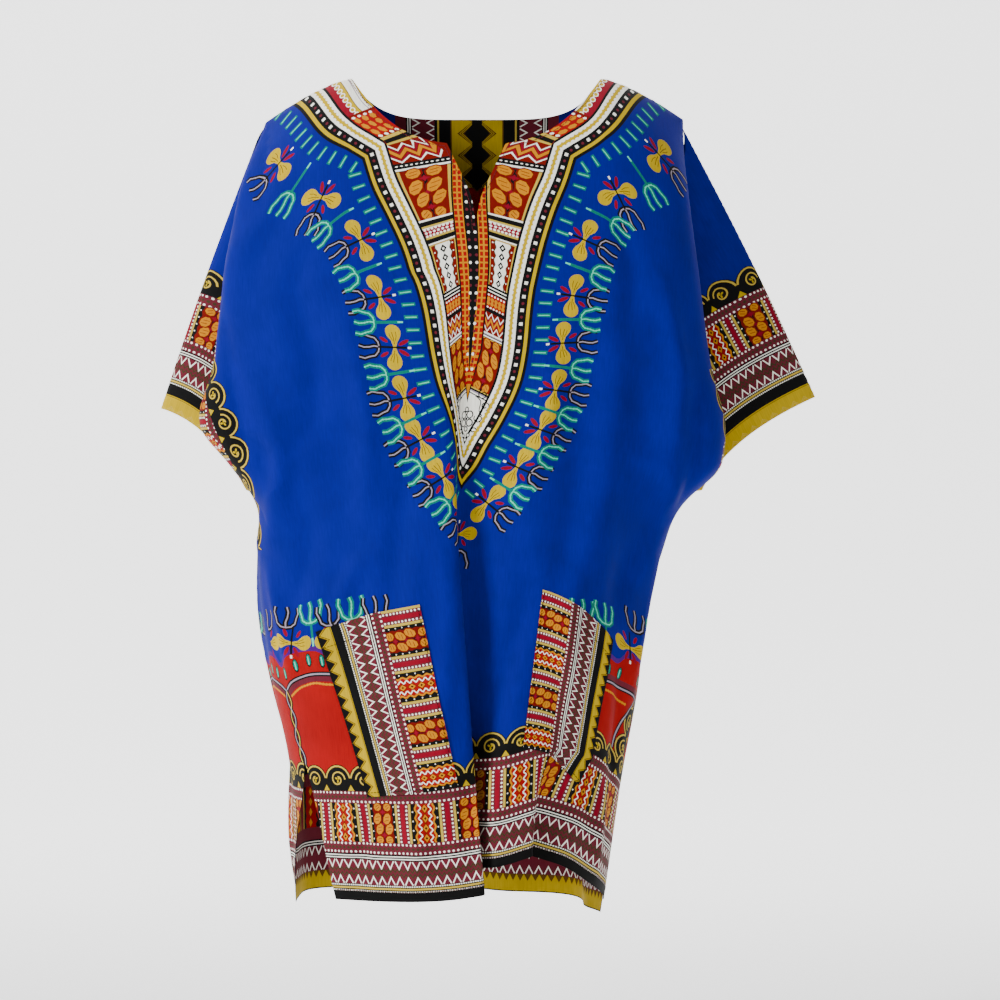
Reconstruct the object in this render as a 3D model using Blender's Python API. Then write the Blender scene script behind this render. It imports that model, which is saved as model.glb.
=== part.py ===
# Dashiki shirt, hanging hollow as when worn: a front with a slit neck, a back, two wide sleeves
# and two patch pockets, each one thin closed wall of cotton cloth.
# Metres, +Z up, +X to the right in the front view, the front faces -Y.
# The origin is midway between the two neck points, where shoulders carry the shirt.

import math

import bpy
import numpy as np

# Driving sizes of the cut
WALL = 0.0014
SEAM_GAP = 0.0003
POCKET_EASE = 0.0009
NECK_HALF = 0.118
NECK_DROP_FRONT = 0.0715
NECK_DROP_BACK = 0.031
NECK_ROUND_FRONT = 2.9
NECK_ROUND_BACK = 5.0
SLIT_HALF = 0.027
SLIT_END = 0.150
SLIT_OPEN = 0.72
SLIT_TAIL_POWER = 12.0
SHOULDER_END = 0.199
SHOULDER_DROP = 0.041
SHOULDER_CURVE = 1.4
LENGTH = 0.745
BACK_DROP = 0.014
SLIT_SIDE_START = 0.615

# How a level of the body is shaped between the shoulder and the underarm
ARMHOLE_BOTTOM = 0.366
ZONE_START = 0.325
ZONE_END = 0.410
FRONT_RIDGE = 0.045
BACK_RIDGE = 0.030
CURL = 0.040
CURL_GROWN = 0.080
CURL_ANGLE = 30.0
BACK_INSET = 0.025
SHOULDER_ROUND = 0.110
HEM_BLEND_START = 0.150
HEM_BLEND_END = 0.700

# Sections down the body, by distance below the shoulder line: the reach to the left and right,
# how much further the side of the front juts out there as the lower part of the sleeve,
# the depth forward and back, and how square the section is
SECTION_COLUMNS = ("below", "left", "right", "jut_left", "jut_right", "front", "back", "square")
SECTIONS = (
    (0.000, 0.199, 0.195, 0.000, 0.000, 0.115, 0.105, 2.6),
    (0.040, 0.212, 0.195, 0.000, 0.000, 0.115, 0.105, 2.6),
    (0.150, 0.226, 0.203, 0.007, 0.004, 0.115, 0.110, 2.6),
    (0.235, 0.227, 0.203, 0.017, 0.015, 0.115, 0.114, 2.6),
    (0.295, 0.222, 0.198, 0.032, 0.033, 0.116, 0.116, 2.6),
    (0.330, 0.217, 0.193, 0.011, 0.033, 0.116, 0.118, 2.5),
    (0.370, 0.210, 0.186, 0.001, 0.013, 0.116, 0.119, 2.5),
    (0.412, 0.204, 0.174, 0.000, 0.001, 0.117, 0.120, 2.4),
    (0.470, 0.200, 0.158, 0.000, 0.000, 0.118, 0.122, 2.4),
    (0.545, 0.190, 0.152, 0.000, 0.000, 0.119, 0.126, 2.4),
    (0.630, 0.175, 0.138, 0.000, 0.000, 0.120, 0.130, 2.3),
    (0.745, 0.170, 0.120, 0.000, 0.000, 0.122, 0.132, 2.3),
)
JUT_FROM = 0.72

# The line down the middle of the front leans aside, the widest line of a level moves forward,
# and the side seams turn round the body: degrees from the widest line, negative towards the front
LEAN_COLUMNS = ("below", "lean", "middle", "seam_left", "seam_right")
LEANS = (
    (0.000, 0.000, -0.035, -8.0, 6.0),
    (0.150, 0.000, -0.035, -8.0, 6.0),
    (0.306, -0.008, -0.035, -8.0, 6.0),
    (0.410, -0.0155, -0.032, -10.0, 8.0),
    (0.545, -0.022, -0.015, -20.0, 12.0),
    (0.630, -0.026, -0.004, -30.0, 14.0),
    (0.745, -0.030, 0.000, -44.0, 2.0),
)

# Beside the open slits at the hem the edge of the back is at its own angle
SLIT_BACK_ANGLES = {-1: -3.0, 1: 5.0}

# Folds that overlap: the cloth right of the fold lies behind the cloth left of it
FOLD_COLUMNS = ("at", "start", "grown", "take_up", "depth", "half", "tail_top", "tail_hem", "lip")
TAKE_UP_POWER = 0.8
DEPTH_POWER = 1.1
LIP_FROM = 4.0
LIP_TO = 1.0
FRONT_FOLDS = (
    (-0.022, 0.190, 0.745, 0.085, 0.042, 0.028, 0.095, 0.045, 0.006),
    (0.095, 0.650, 0.745, 0.034, 0.020, 0.016, 0.050, 0.035, 0.003),
)

# Soft troughs and ridges that run down the cloth: place across, where each starts and ends,
# its half width, and how far it stands out at its deepest
WAVE_COLUMNS = ("at", "start", "end", "half", "out")
FRONT_WAVES = (
    (-0.150, 0.230, 0.640, 0.026, -0.0050),
    (-0.095, 0.380, 0.745, 0.028, 0.0045),
    (0.108, 0.170, 0.560, 0.020, -0.0055),
    (0.160, 0.200, 0.560, 0.020, -0.0050),
    (0.135, 0.180, 0.600, 0.018, 0.0040),
)
BACK_WAVES = (
    (-0.170, 0.300, 0.900, 0.034, 0.0110),
    (-0.105, 0.240, 0.900, 0.032, -0.0100),
    (-0.040, 0.330, 0.900, 0.034, 0.0120),
    (0.025, 0.200, 0.900, 0.034, -0.0120),
    (0.090, 0.300, 0.900, 0.034, 0.0110),
    (0.150, 0.260, 0.900, 0.030, -0.0100),
)

# How far the hem of the front rises above a level line, across the cloth from left to right
HEM_COLUMNS = ("across", "rise")
HEM_RISES = (
    (-0.300, -0.022),
    (-0.200, -0.017),
    (-0.060, -0.010),
    (-0.030, -0.004),
    (0.000, 0.008),
    (0.050, 0.017),
    (0.100, 0.028),
    (0.140, 0.018),
    (0.190, -0.006),
    (0.260, -0.030),
)

# Sleeves: which side, then the hem's tip, middle and low end as a place across and a height,
# in the order side, tip_x, tip_z, mid_x, mid_z, low_x, low_z
SLEEVES = {
    "sleeve_left": (-1, 0.298, -0.311, 0.253, -0.337, 0.216, -0.388),
    "sleeve_right": (1, 0.320, -0.300, 0.250, -0.341, 0.212, -0.388),
}
SLEEVE_HALF_DEPTH = 0.020
SLEEVE_MIDDLE = 0.001
SLEEVE_LOW = -0.012
SLEEVE_BULGE = 0.003
SLEEVE_TOP = 0.006
SLEEVE_ROOT_HALF = 0.0045
SLEEVE_CLEAR = 0.0042
SLEEVE_PINCH = 1.6
SLEEVE_CAP_GROWN = 0.064
SLEEVE_SEAM_TURN = 0.10

# Pockets: corners across and below the shoulder line, from the upper left one round
POCKET_CORNERS = ("upper_left", "upper_right", "lower_right", "lower_left")
POCKETS = {
    "pocket_left": ((-0.182, 0.497), (-0.0815, 0.483), (-0.061, 0.645), (-0.1455, 0.651)),
    "pocket_right": ((0.081, 0.496), (0.1535, 0.532), (0.140, 0.675), (0.0695, 0.643)),
}

# Mesh density
FRONT_COLUMNS = 46
BACK_COLUMNS = 34
PANEL_ROWS = 24
SLEEVE_ROUND = 32
SLEEVE_RINGS = 9
POCKET_CELLS = 10
SLIT_COLUMNS = 6
INNER_SHARE = 0.29
ROW_POWER = 1.35
ARC_LEVELS = 121
ARC_STEPS = 101
ARC_SAMPLES = 303
ARC_POWER = 1.6
STEP = 0.001

COTTON_BLUE = (0.004, 0.040, 0.480, 1.0)
COTTON_MAROON = (0.170, 0.012, 0.022, 1.0)
COTTON_ROUGHNESS = 0.85


def read(table, columns, name, at):
    """A column of a table at any place, on a smooth curve through its rows."""
    rows = np.array(table, float)
    xs = rows[:, 0]
    ys = rows[:, columns.index(name)]
    slopes = np.gradient(ys, xs)
    at = np.clip(at, xs[0], xs[-1])
    i = np.clip(np.searchsorted(xs, at) - 1, 0, len(xs) - 2)
    step = xs[i + 1] - xs[i]
    t = (at - xs[i]) / step
    start = (2 * t**3 - 3 * t**2 + 1) * ys[i] + (t**3 - 2 * t**2 + t) * step * slopes[i]
    end = (3 * t**2 - 2 * t**3) * ys[i + 1] + (t**3 - t**2) * step * slopes[i + 1]
    return start + end


def section(name, below):
    return read(SECTIONS, SECTION_COLUMNS, name, below)


def ease(x):
    """0 up to 0, 1 from 1 on, and smooth between."""
    x = np.clip(x, 0.0, 1.0)
    return x * x * (3 - 2 * x)


def rounded(below):
    """Share of the full depth reached at a distance below the shoulder line."""
    return np.sqrt(1 - np.exp(-np.maximum(below, 0.0) / SHOULDER_ROUND))


def level_point(side, angle, reach, jut, power, middle, forward, backward):
    """Plan point on one rounded level, at an angle from its widest line."""
    depth = np.abs(np.sin(angle)) ** power
    wide = np.cos(angle) ** power
    y = np.where(angle < 0, middle - (forward + middle) * depth, middle + (backward - middle) * depth)
    return side * (reach * wide + jut * ease((wide - JUT_FROM) / (1 - JUT_FROM))), y


def seam_angle(panel, side, below):
    name = "seam_left" if side < 0 else "seam_right"
    angle = read(LEANS, LEAN_COLUMNS, name, below)
    if panel == "back":
        opened = ease((below - SLIT_SIDE_START) / (LENGTH - SLIT_SIDE_START))
        closed = read(LEANS, LEAN_COLUMNS, name, np.minimum(below, SLIT_SIDE_START))
        angle = closed + (SLIT_BACK_ANGLES[side] - closed) * opened
    return np.radians(angle)


def section_point(panel, side, below, share):
    """Plan point of a panel: side is -1 or 1, share runs from its middle out to its edge."""
    zone = ease((below - ZONE_START) / (ZONE_END - ZONE_START))
    grown = ease(below / CURL_GROWN)
    front = section("front", below) * rounded(below)
    back = section("back", below) * rounded(below)
    reach = section("left" if side < 0 else "right", below)
    jut = section("jut_left" if side < 0 else "jut_right", below)
    power = 2 / section("square", below)
    turn = 1.0 if panel == "front" else -1.0
    centre = -turn * math.pi / 2
    # Above the underarm the panel curls round into the armhole
    curled = turn * math.radians(CURL_ANGLE) * grown
    angle = centre + (curled - centre) * share
    if panel == "front":
        middle = -FRONT_RIDGE * grown
        upper = level_point(side, angle, reach, jut, power, middle, front, middle + CURL * grown)
    else:
        middle = BACK_RIDGE * grown
        inset = reach - BACK_INSET * grown
        upper = level_point(side, angle, inset, 0.0, power, middle, CURL * grown - middle, back)
    # Below it the front and back share one level and meet at the side seam
    angle = centre + (seam_angle(panel, side, below) - centre) * share
    middle = read(LEANS, LEAN_COLUMNS, "middle", below)
    lower = level_point(side, angle, reach, 0.0, power, middle, front, back)
    x = upper[0] * (1 - zone) + lower[0] * zone
    y = upper[1] * (1 - zone) + lower[1] * zone
    return x, y - turn * SEAM_GAP / 2 * (1 - zone)


def arc_table(panel, side):
    """For evenly spaced levels: the share that lies each part of the way out, and the whole way."""
    levels = np.linspace(0, LENGTH, ARC_LEVELS)
    share = np.linspace(0, 1, ARC_SAMPLES) ** ARC_POWER
    parts = np.linspace(0, 1, ARC_STEPS)
    shares = np.empty((ARC_LEVELS, ARC_STEPS))
    totals = np.empty(ARC_LEVELS)
    for k, level in enumerate(levels):
        x, y = section_point(panel, side, np.full(share.shape, level), share)
        way = np.concatenate([[0], np.cumsum(np.hypot(np.diff(x), np.diff(y)))])
        totals[k] = way[-1]
        shares[k] = np.interp(parts * way[-1], way, share)
    return shares, totals


ARCS = {(panel, side): arc_table(panel, side) for panel in ("front", "back") for side in (-1, 1)}


def total_arc(panel, side, below):
    place = np.clip(below / LENGTH, 0, 1) * (ARC_LEVELS - 1)
    return np.interp(place, np.arange(ARC_LEVELS), ARCS[panel, side][1])


def share_at(panel, side, below, arc):
    """The share of a level's way out that lies a length of arc from the middle of the panel."""
    shares = ARCS[panel, side][0]
    row = np.clip(below / LENGTH, 0, 1) * (ARC_LEVELS - 1)
    column = np.clip(arc / total_arc(panel, side, below), 0, 1) * (ARC_STEPS - 1)
    r = np.minimum(row.astype(int), ARC_LEVELS - 2)
    c = np.minimum(column.astype(int), ARC_STEPS - 2)
    fr = row - r
    fc = column - c
    upper = shares[r, c] * (1 - fc) + shares[r, c + 1] * fc
    lower = shares[r + 1, c] * (1 - fc) + shares[r + 1, c + 1] * fc
    return upper * (1 - fr) + lower * fr


def fold_growth(fold, below):
    start = fold[FOLD_COLUMNS.index("start")]
    grown = fold[FOLD_COLUMNS.index("grown")]
    return np.clip((below - start) / (grown - start), 0, 1)


def taken_up(fold, below):
    """Length of cloth that a fold hides at a level."""
    return fold[FOLD_COLUMNS.index("take_up")] * fold_growth(fold, below) ** TAKE_UP_POWER


def folded(across, below):
    """How far the folds of the front shift the cloth along the body, and out from it."""
    along = np.zeros_like(across)
    out = np.zeros_like(across)
    for fold in FRONT_FOLDS:
        at, _, _, _, depth, half, tail_top, tail_hem, lip = fold
        growth = fold_growth(fold, below)
        tail = tail_top + (tail_hem - tail_top) * growth
        past = ease((across - at + half) / (2 * half))
        back_out = 1 - ease((across - at - half) / tail)
        if at < 0:
            along += taken_up(fold, below) * (1 - past)
        else:
            along -= taken_up(fold, below) * past
        raised = ease((across - at + LIP_FROM * half) / ((LIP_FROM - LIP_TO) * half))
        out -= depth * growth**DEPTH_POWER * past * back_out
        out += lip * np.sqrt(growth) * (1 - past) * raised
    return along, out


def waved(waves, across, below):
    out = np.zeros_like(across)
    for at, start, end, half, height in waves:
        along = np.clip((below - start) / (end - start), 0, 1)
        fade = np.sin(math.pi * np.minimum(along, 0.5)) if end > LENGTH else np.sin(math.pi * along)
        out += height * fade * np.exp(-(((across - at) / half) ** 2))
    return out


def hem_share(below):
    """0 where a level follows the shoulder line, 1 where it follows the hem."""
    return ease((below - HEM_BLEND_START) / (HEM_BLEND_END - HEM_BLEND_START))


def sloped(panel, across, below):
    """Height of the cloth: down from the sloping shoulder line, to a hem that isn't level."""
    out = np.clip((np.abs(across) - NECK_HALF) / (SHOULDER_END - NECK_HALF), 0, 1)
    drop = SHOULDER_DROP * out**SHOULDER_CURVE
    blend = hem_share(below)
    if panel == "front":
        rise = read(HEM_RISES, HEM_COLUMNS, "rise", across)
        return -below - drop * (1 - blend) + rise * blend
    left = read(HEM_RISES, HEM_COLUMNS, "rise", cloth_end("front", -1, below))
    right = read(HEM_RISES, HEM_COLUMNS, "rise", cloth_end("front", 1, below))
    share = ease((across + SHOULDER_END) / (2 * SHOULDER_END))
    rise = left * (1 - share) + right * share
    extra = BACK_DROP * ease((below - SLIT_SIDE_START) / (LENGTH - SLIT_SIDE_START))
    return -below - drop * (1 - blend) + rise * blend - extra


def base_point(panel, arc, below):
    """Plan point of a level before its folds, at a length of arc from the middle."""
    left = section_point(panel, -1, below, share_at(panel, -1, below, -arc))
    right = section_point(panel, 1, below, share_at(panel, 1, below, arc))
    return np.where(arc < 0, left[0], right[0]), np.where(arc < 0, left[1], right[1])


def surface(panel, across, below):
    """Middle surface of the front or back cloth, at cloth coordinates in metres."""
    across, below = np.broadcast_arrays(np.asarray(across, float), np.asarray(below, float))
    if panel == "front":
        along, out = folded(across, below)
        arc = across + along + read(LEANS, LEAN_COLUMNS, "lean", below)
        out = out + waved(FRONT_WAVES, across, below)
    else:
        arc = across
        out = waved(BACK_WAVES, across, below)
    x, y = base_point(panel, arc, below)
    ahead = base_point(panel, arc + STEP, below)
    behind = base_point(panel, arc - STEP, below)
    tx = ahead[0] - behind[0]
    ty = ahead[1] - behind[1]
    size = np.maximum(np.hypot(tx, ty), 1e-9)
    turn = 1.0 if panel == "front" else -1.0
    out = out * ease(below / CURL_GROWN)
    z = sloped(panel, across, below)
    return np.stack([x + turn * ty / size * out, y - turn * tx / size * out, z], axis=-1)


def surface_normal(panel, across, below):
    """Outward unit normal of a panel's middle surface."""
    wide = surface(panel, across + STEP, below) - surface(panel, across - STEP, below)
    down = surface(panel, across, below + STEP) - surface(panel, across, np.maximum(below - STEP, 0))
    normal = np.cross(down, wide)
    if panel == "back":
        normal = -normal
    return normal / np.linalg.norm(normal, axis=-1, keepdims=True)


def cloth_end(panel, side, below):
    """Cloth coordinate of a panel's left or right edge."""
    edge = side * (total_arc(panel, side, below) - SEAM_GAP / 2)
    if panel == "back":
        return edge
    take = sum(taken_up(fold, below) for fold in FRONT_FOLDS if (fold[0] < 0) == (side < 0))
    return edge - read(LEANS, LEAN_COLUMNS, "lean", below) + side * take


def top_edge(panel, across):
    """Distance below the shoulder line of the panel's upper edge: neckline, then shoulder."""
    size = np.abs(across)
    if panel == "back":
        return NECK_DROP_BACK * (1 - np.minimum(size / NECK_HALF, 1) ** NECK_ROUND_BACK)
    neck = NECK_DROP_FRONT * (1 - np.minimum(size / NECK_HALF, 1) ** NECK_ROUND_FRONT)
    # The slit is a straight-sided V that ends in a narrow tail
    inward = 1 - np.minimum(size / SLIT_HALF, 1)
    share = SLIT_OPEN * inward + (1 - SLIT_OPEN) * inward**SLIT_TAIL_POWER
    return neck + (SLIT_END - NECK_DROP_FRONT) * share


def panel_grid(panel, columns, rows, length):
    """Cloth coordinates of a panel's grid: columns fan from the shoulder to the hem."""
    neck_share = NECK_HALF / SHOULDER_END
    inner = round(columns * INNER_SHARE)
    outer = columns // 2 - inner
    if panel == "front":
        slit_share = SLIT_HALF / SHOULDER_END
        slit = slit_share * (1 - np.cos(np.linspace(0, math.pi / 2, SLIT_COLUMNS + 1)))[:-1]
        middle = np.linspace(slit_share, neck_share, inner - SLIT_COLUMNS + 1)
        half = np.concatenate([slit, middle[:-1], np.linspace(neck_share, 1, outer + 1)])
    else:
        half = np.concatenate(
            [np.linspace(0, neck_share, inner)[:-1], np.linspace(neck_share, 1, outer + 2)]
        )
    shares = np.concatenate([-half[:0:-1], half])
    downs = np.linspace(0, 1, rows) ** ROW_POWER
    side_below = length * downs
    left = cloth_end(panel, -1, side_below)
    right = cloth_end(panel, 1, side_below)
    across = np.where(
        shares[None, :] < 0, -shares[None, :] * left[:, None], shares[None, :] * right[:, None]
    )
    top = top_edge(panel, across[0])
    below = top[None, :] + (length - top[None, :]) * downs[:, None]
    return across, below


def tube_normals(grid):
    """Outward unit normals of a tube's rings."""
    across = np.roll(grid, -1, axis=1) - np.roll(grid, 1, axis=1)
    down = np.gradient(grid, axis=0)
    normal = np.cross(down, across)
    return normal / np.linalg.norm(normal, axis=-1, keepdims=True)


def wall_object(name, grid, normal, material, closed_round=False):
    """A closed wall of cloth round a grid of middle points."""
    rows, columns = grid.shape[:2]
    outer = (grid + normal * WALL / 2).reshape(-1, 3)
    inner = (grid - normal * WALL / 2).reshape(-1, 3)
    count = rows * columns
    wide = columns if closed_round else columns - 1

    def at(i, j):
        return i * columns + j % columns

    faces = []
    for i in range(rows - 1):
        for j in range(wide):
            a, b, c, d = at(i, j), at(i + 1, j), at(i + 1, j + 1), at(i, j + 1)
            faces.append((a, b, c, d))
            faces.append((count + a, count + d, count + c, count + b))
    for j in range(wide):
        for i, flip in ((0, False), (rows - 1, True)):
            a, b = at(i, j), at(i, j + 1)
            edge = (a, b, count + b, count + a)
            faces.append(edge[::-1] if flip else edge)
    if not closed_round:
        for i in range(rows - 1):
            for j, flip in ((0, True), (columns - 1, False)):
                a, b = at(i, j), at(i + 1, j)
                edge = (a, b, count + b, count + a)
                faces.append(edge[::-1] if flip else edge)
    mesh = bpy.data.meshes.new(name)
    mesh.from_pydata([tuple(p) for p in np.concatenate([outer, inner])], [], faces)
    mesh.validate()
    mesh.shade_smooth()
    mesh.materials.append(material)
    obj = bpy.data.objects.new(name, mesh)
    bpy.context.scene.collection.objects.link(obj)
    return obj


def cotton(name, colour):
    material = bpy.data.materials.new(name)
    material.use_nodes = True
    shader = material.node_tree.nodes["Principled BSDF"]
    shader.inputs["Base Color"].default_value = colour
    shader.inputs["Roughness"].default_value = COTTON_ROUGHNESS
    return material


def panel_object(name, panel, columns, rows, length, material):
    across, below = panel_grid(panel, columns, rows, length)
    grid = surface(panel, across, below)
    normal = surface_normal(panel, across, below)
    # Along the shoulder seam both panels' edges stand square to each other
    seam = np.abs(across[0]) >= NECK_HALF - SEAM_GAP
    flat = normal[0, seam] * (1, 0, 1)
    normal[0, seam] = flat / np.linalg.norm(flat, axis=-1, keepdims=True)
    if panel == "back":
        grid = grid[:, ::-1]
        normal = normal[:, ::-1]
    return wall_object(name, grid, normal, material)


def sleeve_grid(name, rings, round_count):
    """Rings of a sleeve from the armhole out to its hem; a ring starts on top and runs by the front."""
    side, tip_x, tip_z, mid_x, mid_z, low_x, low_z = SLEEVES[name]
    turn = np.linspace(0, 2 * math.pi, round_count, endpoint=False)
    front = np.sin(turn) >= 0
    half = (ARMHOLE_BOTTOM - SLEEVE_TOP) / 2
    below = SLEEVE_TOP + half * (1 - np.cos(turn))
    fx, fy = section_point("front", side, below, 1.0)
    bx, by = section_point("back", side, below, 1.0)
    reach = section("left" if side < 0 else "right", below)
    away = 1 - ease(below / SLEEVE_CAP_GROWN)
    x = np.where(front, np.abs(fx), np.abs(bx)) + SLEEVE_CLEAR / 2
    x = x + (reach + SLEEVE_CLEAR - x) * away
    # The top of the sleeve is sewn to the end of the shoulder seam
    off_top = np.minimum(turn, 2 * math.pi - turn)
    x = x - (SLEEVE_CLEAR - SEAM_GAP) * np.exp(-((off_top / SLEEVE_SEAM_TURN) ** 2))
    half_open = np.maximum((by - fy) / 2 - SLEEVE_CLEAR, SLEEVE_ROOT_HALF)
    pinch = np.sqrt(np.minimum(SLEEVE_PINCH * np.abs(np.sin(turn)), 1))
    y = (fy + by) / 2 - np.where(front, 1, -1) * half_open * pinch
    z = -below - SHOULDER_DROP * (1 - hem_share(below))
    root = np.stack([side * x, y, z], axis=-1)
    along = (1 - np.cos(turn)) / 2
    hem_x = tip_x * (1 - along) ** 2 + (4 * mid_x - tip_x - low_x) * along * (1 - along) + low_x * along**2
    hem_z = tip_z * (1 - along) ** 2 + (4 * mid_z - tip_z - low_z) * along * (1 - along) + low_z * along**2
    hem_middle = SLEEVE_MIDDLE + (SLEEVE_LOW - SLEEVE_MIDDLE) * along**2
    hem_y = hem_middle - SLEEVE_HALF_DEPTH * np.sin(turn)
    hem = np.stack([side * hem_x, hem_y, hem_z], axis=-1)
    share = np.linspace(0, 1, rings)[:, None, None]
    grid = root * (1 - share) + hem * share
    bulge = SLEEVE_BULGE * np.sin(math.pi * share[..., 0]) * (1 - along)
    grid[..., 0] += side * bulge
    return grid


def sleeve_object(name, material):
    grid = sleeve_grid(name, SLEEVE_RINGS, SLEEVE_ROUND)
    if SLEEVES[name][0] > 0:
        grid = grid[:, ::-1]
    normal = tube_normals(grid)
    return wall_object(name, grid, normal, material, closed_round=True)


def pocket_object(name, material):
    """A patch on the front, from the front's own points moved out."""
    corner = dict(zip(POCKET_CORNERS, np.array(POCKETS[name])))
    u = np.linspace(0, 1, POCKET_CELLS + 1)[None, :, None]
    v = np.linspace(0, 1, POCKET_CELLS + 1)[:, None, None]
    upper = corner["upper_left"] * (1 - u) + corner["upper_right"] * u
    lower = corner["lower_left"] * (1 - u) + corner["lower_right"] * u
    place = upper * (1 - v) + lower * v
    across, below = place[..., 0], place[..., 1]
    grid = surface("front", across, below)
    normal = surface_normal("front", across, below)
    lifted = grid + normal * (WALL + SEAM_GAP + POCKET_EASE)
    return wall_object(name, lifted, normal, material)


def main():
    for old in list(bpy.data.objects):
        bpy.data.objects.remove(old)
    blue = cotton("cotton_body", COTTON_BLUE)
    maroon = cotton("cotton_border", COTTON_MAROON)
    panel_object("front", "front", FRONT_COLUMNS, PANEL_ROWS, LENGTH, blue)
    panel_object("back", "back", BACK_COLUMNS, PANEL_ROWS, LENGTH, blue)
    for name in SLEEVES:
        sleeve_object(name, maroon)
    for name in POCKETS:
        pocket_object(name, maroon)


main()
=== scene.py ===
import math

import bpy
import numpy as np
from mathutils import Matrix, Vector
from mathutils.geometry import delaunay_2d_cdt


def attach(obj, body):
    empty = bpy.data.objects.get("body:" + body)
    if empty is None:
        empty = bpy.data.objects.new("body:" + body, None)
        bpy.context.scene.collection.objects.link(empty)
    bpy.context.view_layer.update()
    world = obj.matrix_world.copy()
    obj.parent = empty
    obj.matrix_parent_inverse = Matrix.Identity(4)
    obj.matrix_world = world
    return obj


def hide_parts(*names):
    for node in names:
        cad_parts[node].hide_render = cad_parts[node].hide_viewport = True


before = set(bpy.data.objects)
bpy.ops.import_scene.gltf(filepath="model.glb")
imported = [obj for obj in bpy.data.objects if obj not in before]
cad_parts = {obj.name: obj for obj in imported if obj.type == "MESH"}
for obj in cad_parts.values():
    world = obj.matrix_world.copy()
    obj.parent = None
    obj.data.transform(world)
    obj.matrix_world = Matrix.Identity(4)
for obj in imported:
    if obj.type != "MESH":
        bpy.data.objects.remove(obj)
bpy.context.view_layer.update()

MM = 0.001


def shown_object(name, data):
    """A new object in the scene."""
    made = bpy.data.objects.new(name, data)
    bpy.context.scene.collection.objects.link(made)
    return made


# Camera, at the photograph's level view of the front
CAMERA_PLACE = (0.0222, -2.6, -0.3974)
CAMERA_LENS = 99.05
camera_data = bpy.data.cameras.new("camera")
camera_data.lens = CAMERA_LENS
camera_data.sensor_width = 36.0
camera = shown_object("camera", camera_data)
camera.location = CAMERA_PLACE
camera.rotation_euler = (math.pi / 2, 0, 0)
bpy.context.scene.camera = camera

# The cut, as in the part's own source, with sleeve tops that close further round the shoulders
CLOTH = 0.0006
SEAM_GAP = 0.0003
POCKET_LIFT = CLOTH + 0.0006
NECK_HALF = 0.118
NECK_DROP_FRONT = 0.0715
NECK_DROP_BACK = 0.031
NECK_ROUND_FRONT = 2.9
NECK_ROUND_BACK = 5.0
SLIT_HALF = 0.027
SLIT_END = 0.150
SLIT_OPEN = 0.72
SLIT_TAIL_POWER = 12.0
SHOULDER_END = 0.199
SHOULDER_DROP = 0.041
SHOULDER_CURVE = 1.4
LENGTH = 0.745
BACK_DROP = 0.014
SLIT_SIDE_START = 0.615
ARMHOLE_BOTTOM = 0.366
ZONE_START = 0.325
ZONE_END = 0.410
FRONT_RIDGE = 0.045
BACK_RIDGE = 0.030
CURL = 0.040
CURL_GROWN = 0.080
CURL_ANGLE = 30.0
BACK_INSET = 0.025
SHOULDER_ROUND = 0.110
HEM_BLEND_START = 0.150
HEM_BLEND_END = 0.700
SECTION_COLUMNS = ("below", "left", "right", "jut_left", "jut_right", "front", "back", "square")
SECTIONS = (
    (0.000, 0.199, 0.195, 0.000, 0.000, 0.115, 0.105, 2.6),
    (0.040, 0.212, 0.195, 0.000, 0.000, 0.115, 0.105, 2.6),
    (0.150, 0.226, 0.203, 0.007, 0.004, 0.115, 0.110, 2.6),
    (0.235, 0.227, 0.203, 0.017, 0.015, 0.115, 0.114, 2.6),
    (0.295, 0.222, 0.198, 0.032, 0.033, 0.116, 0.116, 2.6),
    (0.330, 0.217, 0.193, 0.011, 0.033, 0.116, 0.118, 2.5),
    (0.370, 0.210, 0.186, 0.001, 0.013, 0.116, 0.119, 2.5),
    (0.412, 0.204, 0.174, 0.000, 0.001, 0.117, 0.120, 2.4),
    (0.470, 0.200, 0.158, 0.000, 0.000, 0.118, 0.122, 2.4),
    (0.545, 0.190, 0.152, 0.000, 0.000, 0.119, 0.126, 2.4),
    (0.630, 0.175, 0.138, 0.000, 0.000, 0.120, 0.130, 2.3),
    (0.745, 0.170, 0.120, 0.000, 0.000, 0.122, 0.132, 2.3),
)
JUT_FROM = 0.72
LEAN_COLUMNS = ("below", "lean", "middle", "seam_left", "seam_right")
LEANS = (
    (0.000, 0.000, -0.035, -8.0, 6.0),
    (0.150, 0.000, -0.035, -8.0, 6.0),
    (0.306, -0.008, -0.035, -8.0, 6.0),
    (0.410, -0.0155, -0.032, -10.0, 8.0),
    (0.545, -0.022, -0.015, -20.0, 12.0),
    (0.630, -0.026, -0.004, -30.0, 14.0),
    (0.745, -0.030, 0.000, -44.0, 2.0),
)
SLIT_BACK_ANGLES = {-1: -3.0, 1: 5.0}
FOLD_COLUMNS = ("at", "start", "grown", "take_up", "depth", "half", "tail_top", "tail_hem", "lip")
TAKE_UP_POWER = 0.8
DEPTH_POWER = 1.1
LIP_FROM = 4.0
LIP_TO = 1.0
FRONT_FOLDS = (
    (-0.022, 0.190, 0.745, 0.085, 0.042, 0.028, 0.095, 0.045, 0.006),
    (0.095, 0.650, 0.745, 0.034, 0.020, 0.016, 0.050, 0.035, 0.003),
)
FRONT_WAVES = (
    (-0.150, 0.230, 0.640, 0.026, -0.0050), (-0.095, 0.380, 0.745, 0.028, 0.0045),
    (0.108, 0.170, 0.560, 0.020, -0.0055), (0.160, 0.200, 0.560, 0.020, -0.0050),
    (0.135, 0.180, 0.600, 0.018, 0.0040),
)
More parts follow.
